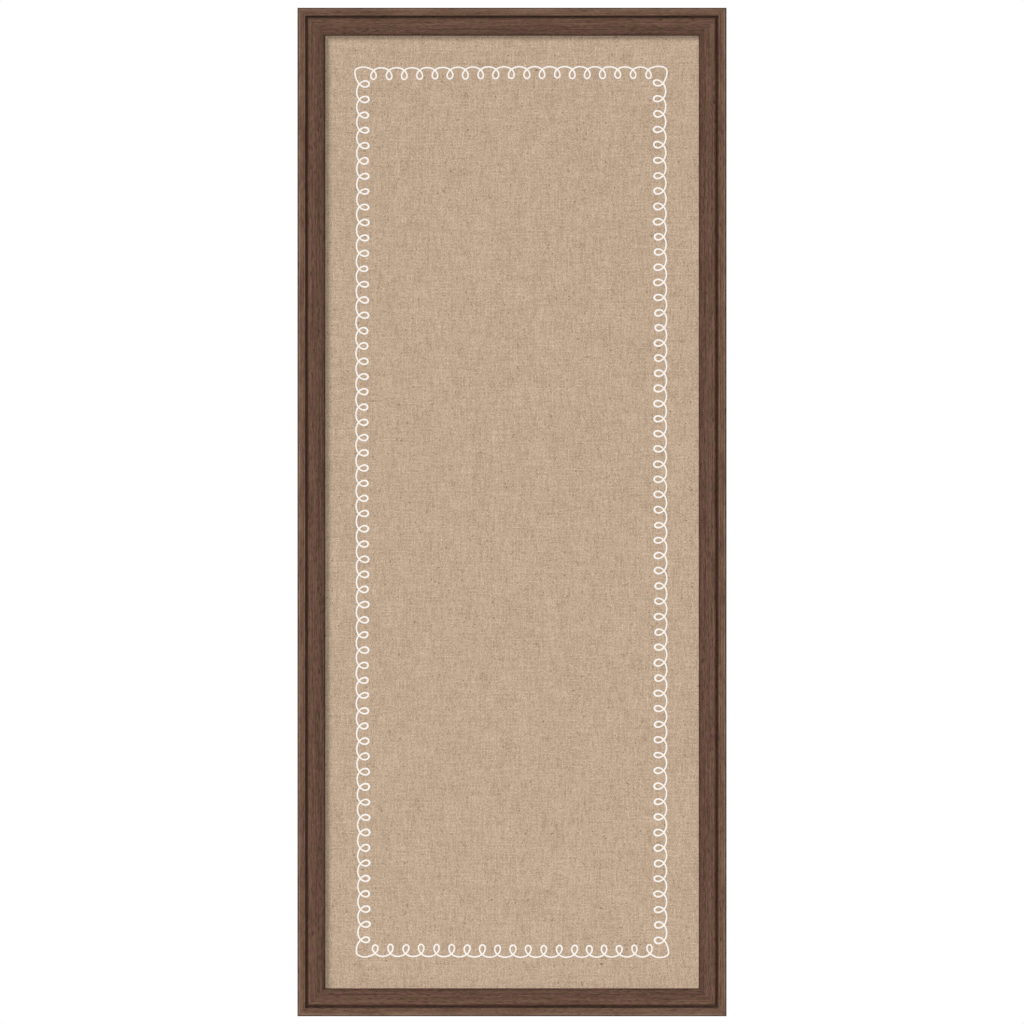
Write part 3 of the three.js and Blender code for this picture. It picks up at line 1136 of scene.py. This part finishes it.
@dataclass
class LoopBorder:
    """A white line of small loops, printed round the linen inside the frame."""

    top: PrintedSide = PrintedSide(
        loops=19, edge=351.6 * MM, before=13.8 * MM, after=14.5 * MM,
        depth=9.25 * MM, swing=4.84 * MM, swell=0.05,
        ahead=(0.15, 0.35, 0.25, 0.15, 0.55, 0.2, -0.3, -0.15),
        inset=(0.85, 0.85, 0.45, 0.1, 0.0, 0.0, 0.1, 0.35),
    )
    right: PrintedSide = PrintedSide(
        loops=57, edge=122.3 * MM, before=13.4 * MM, after=13.7 * MM,
        depth=9.6 * MM, swing=4.98 * MM, swell=0.25,
        ahead=(-0.3, 0.4, -0.4, -1.3, -1.9, -1.7, -0.6, 0.2),
        inset=(0.9, 0.65, 0.1, 0.4, 0.0, 0.05, 0.3, 0.1),
    )
    bottom: PrintedSide = PrintedSide(
        loops=19, edge=351.7 * MM, before=13.4 * MM, after=15.0 * MM,
        depth=9.38 * MM, swing=4.86 * MM, swell=0.05,
        ahead=(0.15, 0.1, -0.8, -0.5, -0.3, -0.35, -0.3, -0.15),
        inset=(0.45, 0.4, 0.1, 0.15, 0.2, 0.55, 0.75, 0.9),
    )
    left: PrintedSide = PrintedSide(
        loops=57, edge=123.2 * MM, before=14.2 * MM, after=13.9 * MM,
        depth=9.4 * MM, swing=5.0 * MM, swell=0.25,
        ahead=(-0.2, 0.0, -0.4, -1.1, -1.7, -1.6, -0.5, 0.1),
        inset=(1.6, 1.3, 0.15, 0.4, 0.0, 0.0, 0.6, 0.6),
    )
    # About where a loop crosses its own line, in the turn of its pen
    crossing: float = 2.15
    stroke: float = 1.17 * MM
    proud: float = 0.1 * MM
    # How far a strand that crosses another lies over it
    lift: float = 0.06 * MM
    # The line's points for half a loop, how much closer they stand at the tips, as a share, and
    # their number between two of a corner's points
    steps: int = 24
    crowding: float = 0.3
    corner_steps: int = 5
    # How much the loops differ in depth, in swing and in slant, as shares
    spreads: tuple[float, float, float] = (0.022, 0.035, 0.05)
    seed: int = 7
    smooth_below: float = math.radians(60)
    # The line round each corner: distance along the rail, then along the stile, in mm
    corners: dict[Corner, tuple[tuple[float, float], ...]] = field(
        default_factory=lambda: {
            Corner.TOP_LEFT: (
                (1.2, 11.5), (-0.1, 8.8), (-0.7, 4.7), (-0.5, 3.0), (0.4, 1.8),
                (3.5, 0.6), (7.6, 0.45), (11.1, 1.6),
            ),
            Corner.TOP_RIGHT: (
                (11.9, 0.9), (8.3, -0.15), (4.2, 0.0), (0.75, 1.5), (-0.1, 3.9),
                (0.5, 7.9), (1.9, 11.2),
            ),
            Corner.BOTTOM_RIGHT: (
                (0.35, 10.7), (-1.0, 6.9), (-1.2, 3.1), (-0.5, 2.0), (0.75, 1.1),
                (4.5, 0.0), (8.3, 0.25), (11.8, 2.1),
            ),
            Corner.BOTTOM_LEFT: (
                (11.4, 1.4), (7.6, 0.4), (3.8, 1.0), (0.85, 2.8), (0.35, 5.9),
                (1.1, 9.7),
            ),
        }
    )

    @staticmethod
    def between(values: Sequence[float], share: float) -> float:
        """Reads a row of values at a share of its length, in a straight line between two."""
        place = min(max(share, 0), 1) * (len(values) - 1)
        near = min(int(place), len(values) - 2)
        return values[near] + (values[near + 1] - values[near]) * (place - near)

    def side_line(
        self, side: PrintedSide, length: float, start: Vector, along: Vector, inward: Vector,
        draws: random.Random,
    ) -> list[Vector]:
        """Draws one side's loops, as a pen swung round while the hand moves along.

        Args:
            side: The side's loops and where they lie.
            length: The distance between its two corners.
            start: The corner that the side starts from, in the plane of the cloth.
            along: The direction that the hand moves in.
            inward: The direction of the board's middle.
            draws: Gives the hand's unevenness.

        Returns:
            The points of the line, from the first crossing to the last one. The fourth number
            of each is the line's width there.
        """
        whole = 2 * math.pi * (side.loops - 1)
        pitch = (length - side.before - side.after) / (side.loops - 1)
        deep, wide, slant = (
            [draws.gauss(0, spread) for _ in range(side.loops)] for spread in self.spreads
        )
        points = []
        count = round(self.steps * (side.loops - 1 + self.crossing / math.pi))
        for step in range(count + 1):
            pen = -self.crossing + (whole + 2 * self.crossing) * step / count
            turn = pen if step in (0, count) else pen - self.crowding * math.sin(pen)
            share = turn / whole
            tip = (1 + math.cos(turn)) / 2
            down = side.depth * (1 + self.between(deep, share)) * tip
            back = side.swing * (1 + self.between(wide, share)) * math.sin(turn)
            reach = side.before + pitch * turn / (2 * math.pi) - back
            reach += self.between(side.ahead, share) * MM
            reach += self.between(slant, share) * (down - side.depth / 2)
            spot = start + along * reach + inward * (down + self.between(side.inset, share) * MM)
            lift = self.lift * (1 + math.sin(turn)) / 2
            points.append(Vector((spot.x, spot.y, lift, self.stroke * (1 + side.swell * tip**2))))
        return points

    @staticmethod
    def through(points: Sequence[Vector], steps: int) -> list[Vector]:
        """Draws a smooth line through some points, leaving out the first and last stretch.

        Args:
            points: The points, of which the first and last only give a direction.
            steps: The number of steps between two points.

        Returns:
            The line's points between the second point and the last but one, without these.
        """
        line = []
        # Going by the root of each distance, the line doesn't loop where two points are close
        for p0, p1, p2, p3 in zip(points, points[1:], points[2:], points[3:]):
            t1 = (p1 - p0).length ** 0.5
            t2 = t1 + (p2 - p1).length ** 0.5
            t3 = t2 + (p3 - p2).length ** 0.5
            for step in range(steps):
                t = t1 + (t2 - t1) * step / steps
                a1 = p0.lerp(p1, t / t1)
                a2 = p1.lerp(p2, (t - t1) / (t2 - t1))
                a3 = p2.lerp(p3, (t - t2) / (t3 - t2))
                b1 = a1.lerp(a2, t / t2)
                b2 = a2.lerp(a3, (t - t1) / (t3 - t1))
                line.append(b1.lerp(b2, (t - t1) / (t2 - t1)))
        return line[1:]

    def line(self) -> list[Vector]:
        """Draws the whole closed line, clockwise from the top left, with its width as it goes."""
        draws = random.Random(self.seed)
        right, up = Vector((1, 0, 0)), Vector((0, 1, 0))
        # Each corner's place, and its directions inwards along the rail and along the stile
        places = {
            Corner.TOP_LEFT: (Vector((-self.left.edge, self.top.edge, 0)), right, -up),
            Corner.TOP_RIGHT: (Vector((self.right.edge, self.top.edge, 0)), -right, -up),
            Corner.BOTTOM_RIGHT: (Vector((self.right.edge, -self.bottom.edge, 0)), -right, up),
            Corner.BOTTOM_LEFT: (Vector((-self.left.edge, -self.bottom.edge, 0)), right, up),
        }
        width = self.left.edge + self.right.edge
        height = self.top.edge + self.bottom.edge
        # The side that starts at each corner: its length, and its directions along and inwards
        ways = {
            Corner.TOP_LEFT: (self.top, width, right, -up),
            Corner.TOP_RIGHT: (self.right, height, -up, -right),
            Corner.BOTTOM_RIGHT: (self.bottom, width, -right, up),
            Corner.BOTTOM_LEFT: (self.left, height, up, right),
        }
        sides = {
            corner: self.side_line(side, length, places[corner][0], along, inward, draws)
            for corner, (side, length, along, inward) in ways.items()
        }
        order = list(Corner)
        line = []
        for corner, after in zip(order, order[1:] + order[:1]):
            line += sides[corner]
            start, across, down = places[after]
            turn = []
            for a, b in self.corners[after]:
                spot = start + across * (a * MM) + down * (b * MM)
                turn.append(Vector((spot.x, spot.y, 0, self.stroke)))
            bend = [*sides[corner][-2:], *turn, *sides[after][:2]]
            line += self.through(bend, self.corner_steps)
        return line

    def build(self, ink: Material, cloth_face: float, middle: Vector) -> Workpiece:
        """Builds the printed line as a thin raised band.

        Args:
            ink: The ink's material.
            cloth_face: The cloth's front, on Y.
            middle: The middle of the linen.

        Returns:
            The line, to be joined to the board.
        """
        line = self.line()
        curve = bpy.data.curves.new("loop_border", "CURVE")
        curve.dimensions = "3D"
        curve.twist_mode = "Z_UP"
        curve.fill_mode = "FULL"
        curve.bevel_depth = self.stroke / 2
        curve.bevel_resolution = 0
        spline = curve.splines.new("POLY")
        spline.use_cyclic_u = True
        spline.points.add(len(line) - 1)
        flatten = 2 * self.proud / self.stroke
        for point, at in zip(spline.points, line):
            point.co = (at.x, at.y, at.z / flatten, 1)
            point.radius = at.w / self.stroke
        obj = bpy.data.objects.new("loop_border", curve)
        bpy.context.collection.objects.link(obj)
        Workpiece(obj, "loop_border").select()
        run(bpy.ops.object.convert, target="MESH")
        piece = Workpiece(bpy.context.object, "loop_border")
        with piece.shaping():
            piece.pick_all()
            piece.resize((1, 1, flatten), (0, 0, 0))
        piece.turn_and_move((QUARTER_TURN, 0, 0), (middle.x, cloth_face, middle.z))
        piece.face_out()
        piece.dress(ink)
        return piece


@dataclass
class LinenPanel:
    """The pin panel: linen drawn over a fibreboard core and turned over its back."""

    cloth: float = 0.6 * MM
    # 20 mm over the core's back, and the gap and the cloth at the core's side
    hem: float = 20.85 * MM
    fold_round: float = 1.1 * MM
    core_round: float = 0.4 * MM
    # The panel, its edges and a 20 mm hem all round
    flat: tuple[float, float] = (0.361, 0.818)
    border: LoopBorder = field(default_factory=LoopBorder)

    def core(self) -> None:
        """Builds the soft board, with edges that the saw has left a little round."""
        piece = Workpiece.block("fibreboard_panel", *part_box("fibreboard_core"))
        piece.modify("BEVEL", width=self.core_round, segments=2)
        soft = PressedFibre("soft_fibreboard", 0.9, dark="#7D6848", light="#B79F7C", marks=0.0)
        piece.dress(soft.material())
        piece.finish("board", "fibreboard", "fibreboard_core")

    def cover(self) -> Workpiece:
        """Builds the cloth: a face, four edges and the hem, turned over round the core."""
        low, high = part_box("linen_cover")
        piece = Workpiece.block("linen_sheet", low, high)
        with piece.shaping():
            piece.pick(Pick.FACES, lambda at, way: way.y > STRAIGHT)
            run(bpy.ops.mesh.inset, thickness=self.hem, depth=0)
            run(bpy.ops.mesh.delete, type="FACE")

            def is_fold(at: Vector, way: Vector) -> bool:
                """Finds the edges of the box, and leaves out those round the hem's opening."""
                from_rim = min(at.x - low.x, high.x - at.x, at.z - low.z, high.z - at.z)
                return from_rim < self.hem / 2 and max(map(abs, way)) > STRAIGHT

            piece.pick(Pick.EDGES, is_fold)
            piece.bevel(self.fold_round, steps=3)
        piece.face_out()
        piece.modify("SOLIDIFY", thickness=self.cloth, offset=-1, use_even_offset=True)
        piece.dress(NaturalLinen().material())
        piece.finish("board", "linen", "linen_cover")
        return piece

    def build(self) -> None:
        self.core()
        cover = self.cover()
        low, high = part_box("linen_cover")
        printed = self.border.build(ScreenInk().material(), low.y, (low + high) / 2)
        printed.select()
        run(bpy.ops.object.shade_smooth_by_angle, angle=self.border.smooth_below)
        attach(printed.obj, "board")
        log.info("loop_border: %d faces, on board", len(printed.obj.data.polygons))


@dataclass
class Backing:
    """The hardboard behind the panel, and the steel points that hold it in the rebate."""

    edge_round: float = 0.35 * MM
    point_taper: float = 2.5 * MM
    # How wide the point's tip stays, as a share
    tip_share: float = 0.02
    tail_round: float = 1.5 * MM
    point_edge: float = 0.08 * MM

    def board(self) -> None:
        """Builds the hardboard, its mesh-marked side to the back."""
        piece = Workpiece.block("hardboard_backing", *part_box("backing_board"))
        piece.modify("BEVEL", width=self.edge_round, segments=2)
        piece.dress(PressedFibre().material())
        piece.finish("board", "hardboard", "backing_board")

    def point(self, node: str, side: Side) -> None:
        """Builds one framer's point: a flat tip in the wood and a round tail on the backing.

        Args:
            node: The point's CAD node.
            side: The side that it is driven into.
        """
        low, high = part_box(node)
        out = side.outward
        piece = Workpiece.block(node.replace("framers", "flat"), low, high)
        tip = Vector((high.x if out.x > 0 else low.x, 0, high.z if out.z > 0 else low.z))
        middle = (low + high) / 2

        def at_tip(at: Vector, way: Vector) -> bool:
            """Finds what lies at the point's tip."""
            return abs((at - tip).dot(out)) < HAIR

        def at_tail_corner(at: Vector, way: Vector) -> bool:
            """Finds the short edges at the two corners of the tail."""
            return abs(way.y) > STRAIGHT and (middle - at).dot(out) > 0

        with piece.shaping():
            piece.pick_all()
            piece.cut(tip - out * self.point_taper, out)
            piece.pick(Pick.POINTS, at_tip)
            piece.resize((1, 1, self.tip_share) if out.x else (self.tip_share, 1, 1), middle)
            piece.pick(Pick.EDGES, at_tail_corner)
            piece.bevel(self.tail_round, steps=5)
        piece.modify("BEVEL", width=self.point_edge, segments=2, limit_method="ANGLE")
        piece.face_out()
        piece.dress(ZincPlate().material())
        piece.finish("board", "zinc_plated_steel", node)

    def build(self) -> None:
        """Builds the board and its points, and plates the corner nails."""
        self.board()
        for side in Side:
            for node in sorted(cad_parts):
                if node.startswith(f"framers_point_{side.value}"):
                    self.point(node, side)
        for node in sorted(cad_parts):
            if node.startswith("v_nail"):
                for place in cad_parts[node].material_slots:
                    place.material = ZincPlate().material()
                log.info("%s: the CAD node, with a zinc finish", node)


@dataclass
class Hanger:
    """A D-ring hanger: a strap folded round the ring's bar, the ring and the screw."""

    strap_thickness: float = 0.77 * MM
    # Each layer's share of the CAD strap, so that a hairline shows between the two
    layer: float = 0.8 * MM
    strap_width: float = 7 * MM
    fold_radius: float = 2 * MM
    eye_height: float = 2 * MM
    neck_round: float = 1 * MM
    screw_drop: float = 15 * MM
    hole_radius: float = 1.7 * MM
    # How much of half the width rounds the end: not all, so that its two corners don't meet
    end_share: float = 0.999
    edge: float = 0.1 * MM
    wire_radius: float = 0.9 * MM
    ring_half_width: float = 6.1 * MM
    ring_leg: float = 4 * MM
    ring_bend: float = 1.8 * MM
    ring_split: float = 0.2 * MM
    ring_tilt: float = math.radians(5.1)
    shank_radius: float = 1.4 * MM
    head_radius: float = 3 * MM
    head_height: float = 2 * MM
    head_round: float = 0.9 * MM
    tip_length: float = 2.5 * MM
    # How wide the shank's tip and the recess's floor are, as shares
    tip_share: float = 0.05
    recess_taper: float = 0.35
    overrun: float = 0.5 * MM
    recess_width: float = 0.75 * MM
    recess_reach: float = 1.65 * MM
    recess_depth: float = 1.25 * MM

    def strap(self, hand: Hand, place: Vector) -> None:
        """Builds the strap as one strip of sheet, bent round the bar and pressed on itself.

        Args:
            hand: Which of the two hangers.
            place: The point on the wood behind the ring's bar.
        """
        end = -self.screw_drop - self.strap_width / 2
        neck_height = 2 * self.layer + self.neck_round
        offset = neck_height - self.eye_height
        neck_drop = -math.sqrt((self.fold_radius + self.neck_round) ** 2 - offset**2)
        neck_angle = -math.atan2(neck_drop, offset)
        middle = self.layer / 2
        deselect()
        run(
            bpy.ops.mesh.primitive_plane_add,
            size=1,
            location=(0, middle, end / 2),
            rotation=(QUARTER_TURN, 0, 0),
        )
        bpy.context.object.scale = (self.strap_width, -end, 1)
        run(bpy.ops.object.transform_apply)
        piece = Workpiece(bpy.context.object, f"strap_{hand.value}")
        axis = (1, 0, 0)

        def leading(at: Vector, way: Vector) -> bool:
            """Finds the edge across the strip's upper end."""
            return abs(way.x) > STRAIGHT and abs(at.z) < HAIR

        with piece.shaping():
            piece.pick(Pick.EDGES, leading)
            piece.spin((0, self.eye_height, 0), axis, -(HALF_TURN + neck_angle), steps=20)
            piece.spin((0, neck_height, neck_drop), axis, neck_angle, steps=6)
            piece.extrude((0, 0, end - neck_drop))
            piece.pick(Pick.POINTS, lambda at, way: abs(at.z - end) < HAIR)
            radius = self.strap_width / 2 * self.end_share
            corners = {"affect": "VERTICES", "offset": radius, "segments": 8}
            run(bpy.ops.mesh.bevel, clamp_overlap=False, **corners)
        piece.face_out()
        piece.modify("SOLIDIFY", thickness=self.strap_thickness, offset=0, use_even_offset=True)
        foot = (0, -self.layer, -self.screw_drop)
        piece.subtract(
            Workpiece.round_bar("hole", self.hole_radius, foot, 4 * self.layer, sides=24)
        )
        piece.modify("BEVEL", width=self.edge, segments=2, limit_method="ANGLE")
        piece.turn_and_move((0, 0, 0), place)
        piece.dress(ZincPlate().material())
        piece.finish("board", "zinc_plated_steel", f"hanger_strap_{hand.value}")

    def ring(self, hand: Hand, place: Vector) -> None:
        """Builds the ring as a length of wire, bent from one end of its split bar to the other.

        Args:
            hand: Which of the two hangers.
            place: The point on the wood behind the ring's bar.
        """
        straight = self.ring_half_width - self.ring_bend
        run_down = self.ring_leg - self.ring_bend
        deselect()
        run(
            bpy.ops.mesh.primitive_circle_add,
            vertices=16,
            radius=self.wire_radius,
            fill_type="NGON",
            location=(self.ring_split, 0, 0),
            rotation=(0, QUARTER_TURN, 0),
        )
        run(bpy.ops.object.transform_apply)
        piece = Workpiece(bpy.context.object, f"ring_wire_{hand.value}")
        axis = (0, 1, 0)
        with piece.shaping():
            piece.pick_all()
            piece.extrude((straight - self.ring_split, 0, 0))
            piece.spin((straight, 0, -self.ring_bend), axis, QUARTER_TURN, steps=7)
            piece.extrude((0, 0, -run_down))
            piece.spin((0, 0, -self.ring_leg), axis, HALF_TURN, steps=24)
            piece.extrude((0, 0, run_down))
            piece.spin((-straight, 0, -self.ring_bend), axis, QUARTER_TURN, steps=7)
            piece.extrude((straight - self.ring_split, 0, 0))
        piece.face_out()
        piece.turn_and_move((self.ring_tilt, 0, 0), place + Vector((0, self.eye_height, 0)))
        piece.dress(ZincPlate().material())
        piece.finish(f"ring_{hand.value}", "zinc_plated_steel", f"d_ring_{hand.value}")

    def screw(self, hand: Hand, place: Vector) -> None:
        """Builds the pan-head screw, with a cross recess and a pointed shank.

        Args:
            hand: Which of the two hangers.
            place: The point on the wood behind the ring's bar.
        """
        low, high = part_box(f"hanger_screw_{hand.value}")
        top = Vector(((low.x + high.x) / 2, high.y, place.z - self.screw_drop))
        centre = Vector((top.x, top.y - self.head_height, top.z))
        piece = Workpiece.round_bar(
            f"pan_head_screw_{hand.value}", self.head_radius, centre, self.head_height, sides=32
        )
        shank = centre.y - low.y - self.tip_length
        with piece.shaping():
            piece.pick(Pick.FACES, lambda at, way: way.y > STRAIGHT)
            piece.bevel(self.head_round, steps=5)
            piece.pick(Pick.FACES, lambda at, way: way.y < -STRAIGHT)
            run(bpy.ops.mesh.inset, thickness=self.head_radius - self.shank_radius, depth=0)
            piece.extrude((0, -shank, 0))
            piece.extrude((0, -self.tip_length, 0))
            piece.resize((self.tip_share, 1, self.tip_share), centre)
        piece.face_out()
        reach, half = self.recess_reach, self.recess_width / 2
        wings = []
        for across, up in ((reach, half), (half, reach)):
            low = top - Vector((across, self.recess_depth, up))
            high = top + Vector((across, self.overrun, up))
            wing = Workpiece.block("wing", low, high)
            with wing.shaping():
                wing.pick(Pick.FACES, lambda at, way: way.y < -STRAIGHT)
                wing.resize((self.recess_taper, 1, self.recess_taper), top)
            wings.append(wing)
        piece.subtract(*wings)
        piece.dress(ZincPlate().material())
        piece.finish("board", "zinc_plated_steel", f"hanger_screw_{hand.value}")

    def build(self) -> None:
        """Builds both hangers."""
        for hand in Hand:
            low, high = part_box(f"hanger_strap_{hand.value}")
            place = Vector(((low.x + high.x) / 2, 0, 0))
            place.z = low.z + self.screw_drop + self.strap_width / 2
            self.strap(hand, place)
            self.ring(hand, place)
            self.screw(hand, place)


@dataclass
class Bumpers:
    """Two rubber bumpers that keep the foot of the board off the wall."""

    rim: float = 1.2 * MM
    # The flat ring that touches the wall, and the slope and depth of the dish inside it
    flat: float = 1.2 * MM
    slope: float = 0.5 * MM
    dish: float = 0.2 * MM

    def build(self) -> None:
        """Builds both bumpers, each a low round pad with a shallow dish in its face."""
        for hand in Hand:
            node = f"wall_bumper_{hand.value}"
            low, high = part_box(node)
            radius = (high.x - low.x) / 2
            foot = ((low.x + high.x) / 2, low.y, (low.z + high.z) / 2)
            name, height = f"rubber_bumper_{hand.value}", high.y - low.y
            piece = Workpiece.round_bar(name, radius, foot, height, sides=40)
            with piece.shaping():
                piece.pick(Pick.EDGES, lambda at, way: at.y > high.y - HAIR)
                piece.bevel(self.rim, steps=5)
                piece.pick(Pick.FACES, lambda at, way: at.y > high.y - HAIR)
                run(bpy.ops.mesh.inset, thickness=self.flat, depth=0)
                run(bpy.ops.mesh.inset, thickness=self.slope, depth=-self.dish)
            piece.face_out()
            piece.dress(MouldedRubber().material())
            piece.finish("board", "rubber", node)


@dataclass
class Lamp:
    """A soft far light, given by where it shines from and how brightly."""

    name: str
    towards: tuple[float, float, float]
    # The share of a plain white level that it gives a surface facing it like the board does
    level: float
    # How wide it looks from the board, in degrees
    softness: float
    # The surface that the level is for
    faces: tuple[float, float, float] = (0, -1, 0)

    def build(self) -> None:
        """Builds the lamp."""
        light = bpy.data.lights.new(self.name, "SUN")
        light.angle = math.radians(self.softness)
        towards = Vector(self.towards).normalized()
        light.energy = self.level * math.pi / towards.dot(Vector(self.faces))
        obj = bpy.data.objects.new(self.name, light)
        bpy.context.collection.objects.link(obj)
        obj.rotation_mode = "QUATERNION"
        obj.rotation_quaternion = towards.to_track_quat("Z", "Y")


@dataclass
class Studio:
    """The camera, a pale floor well below the board, soft lamps and a white background."""

    # In mm, as the camera has them
    lens: float = 600
    sensor: float = 36
    distance: float = 13.4877
    far_limit: float = 100
    floor_drop: float = 1.6
    floor_reach: float = 1.5
    floor_colour: str = "#D2D2D0"
    # How much white the floor shows the camera, beside the light that falls on it
    floor_glow: float = 0.4
    white: str = "#FFFFFF"
    ambient: float = 0.08
    lamps: tuple[Lamp, ...] = (
        Lamp("key", (-0.88, -1, 0.76), level=0.45, softness=26),
        Lamp("front_fill", (0, -1, 0), level=0.445, softness=6),
        Lamp("back_fill", (0.3, 1, 0.5), level=0.8, softness=60, faces=(0, 1, 0)),
        Lamp("right_rim", (1, 0.35, -0.2), level=0.6, softness=36, faces=(1, 0, 0)),
        Lamp("left_rim", (-1, 0.35, -0.2), level=0.2, softness=36, faces=(-1, 0, 0)),
    )

    def camera(self) -> None:
        """Builds the camera, straight in front of the board's middle."""
        lens = bpy.data.cameras.new("camera")
        lens.lens = self.lens
        lens.sensor_width = self.sensor
        lens.clip_end = self.far_limit
        obj = bpy.data.objects.new("camera", lens)
        bpy.context.collection.objects.link(obj)
        low, high = cad_box
        obj.location = (0, -self.distance, (low.z + high.z) / 2)
        obj.rotation_euler = (QUARTER_TURN, 0, 0)
        bpy.context.scene.camera = obj

    @staticmethod
    def seen(tree: Tree) -> Node:
        """Gives 1 for what the camera sees, straight, in a reflection or through glass."""
        path = add(tree, "LightPath").outputs
        rays = {0: path["Is Camera Ray"], 1: path["Is Glossy Ray"]}
        either = add(tree, "Math", rays, operation="MAXIMUM")
        rays = {0: either, 1: path["Is Transmission Ray"]}
        return add(tree, "Math", rays, operation="MAXIMUM")

    def world(self) -> None:
        """Builds a world that is white to the eye and a low even light to the object."""
        world = bpy.data.worlds.new("studio")
        bpy.context.scene.world = world
        world.use_nodes = True
        tree = world.node_tree
        tree.nodes.clear()
        strength = add(tree, "MapRange", {"Value": self.seen(tree), "To Min": self.ambient})
        sky = add(tree, "Background", {"Color": srgb(self.white), "Strength": strength})
        add(tree, "OutputWorld", {"Surface": sky})

    def floor(self) -> None:
        """Builds a pale floor, out of the photograph's view, that takes the board's shadow."""
        low, _ = cad_box
        deselect()
        run(
            bpy.ops.mesh.primitive_plane_add,
            size=2 * self.floor_reach,
            location=(0, 0, low.z - self.floor_drop),
        )
        piece = Workpiece(bpy.context.object, "floor")
        run(bpy.ops.object.transform_apply)
        material = bpy.data.materials.new("pale_matt_floor")
        material.use_nodes = True
        tree = material.node_tree
        tree.nodes.clear()
        matt = add(tree, "BsdfDiffuse", {"Color": srgb(self.floor_colour)})
        glow = add(tree, "Emission", {"Color": srgb(self.white), "Strength": self.floor_glow})
        dark = add(tree, "Emission", {"Strength": 0.0})
        lit = add(tree, "MixShader", {0: self.seen(tree), 1: dark, 2: glow})
        both = add(tree, "AddShader", {0: matt, 1: lit})
        add(tree, "OutputMaterial", {"Surface": both})
        piece.dress(material)

    def build(self) -> None:
        """Builds the studio."""
        bpy.context.scene.view_settings.view_transform = "Standard"
        self.camera()
        self.world()
        self.floor()
        for lamp in self.lamps:
            lamp.build()
        log.info("studio: %d lamps", len(self.lamps))


def main() -> None:
    """Builds the board's sub-assemblies in order, and the studio round them."""
    logging.basicConfig(level=logging.INFO, format="%(name)s: %(message)s")
    Studio().build()
    for assembly in (MouldingFrame(), LinenPanel(), Backing(), Hanger(), Bumpers()):
        assembly.build()
    deselect()


if __name__ == "__main__":
    main()
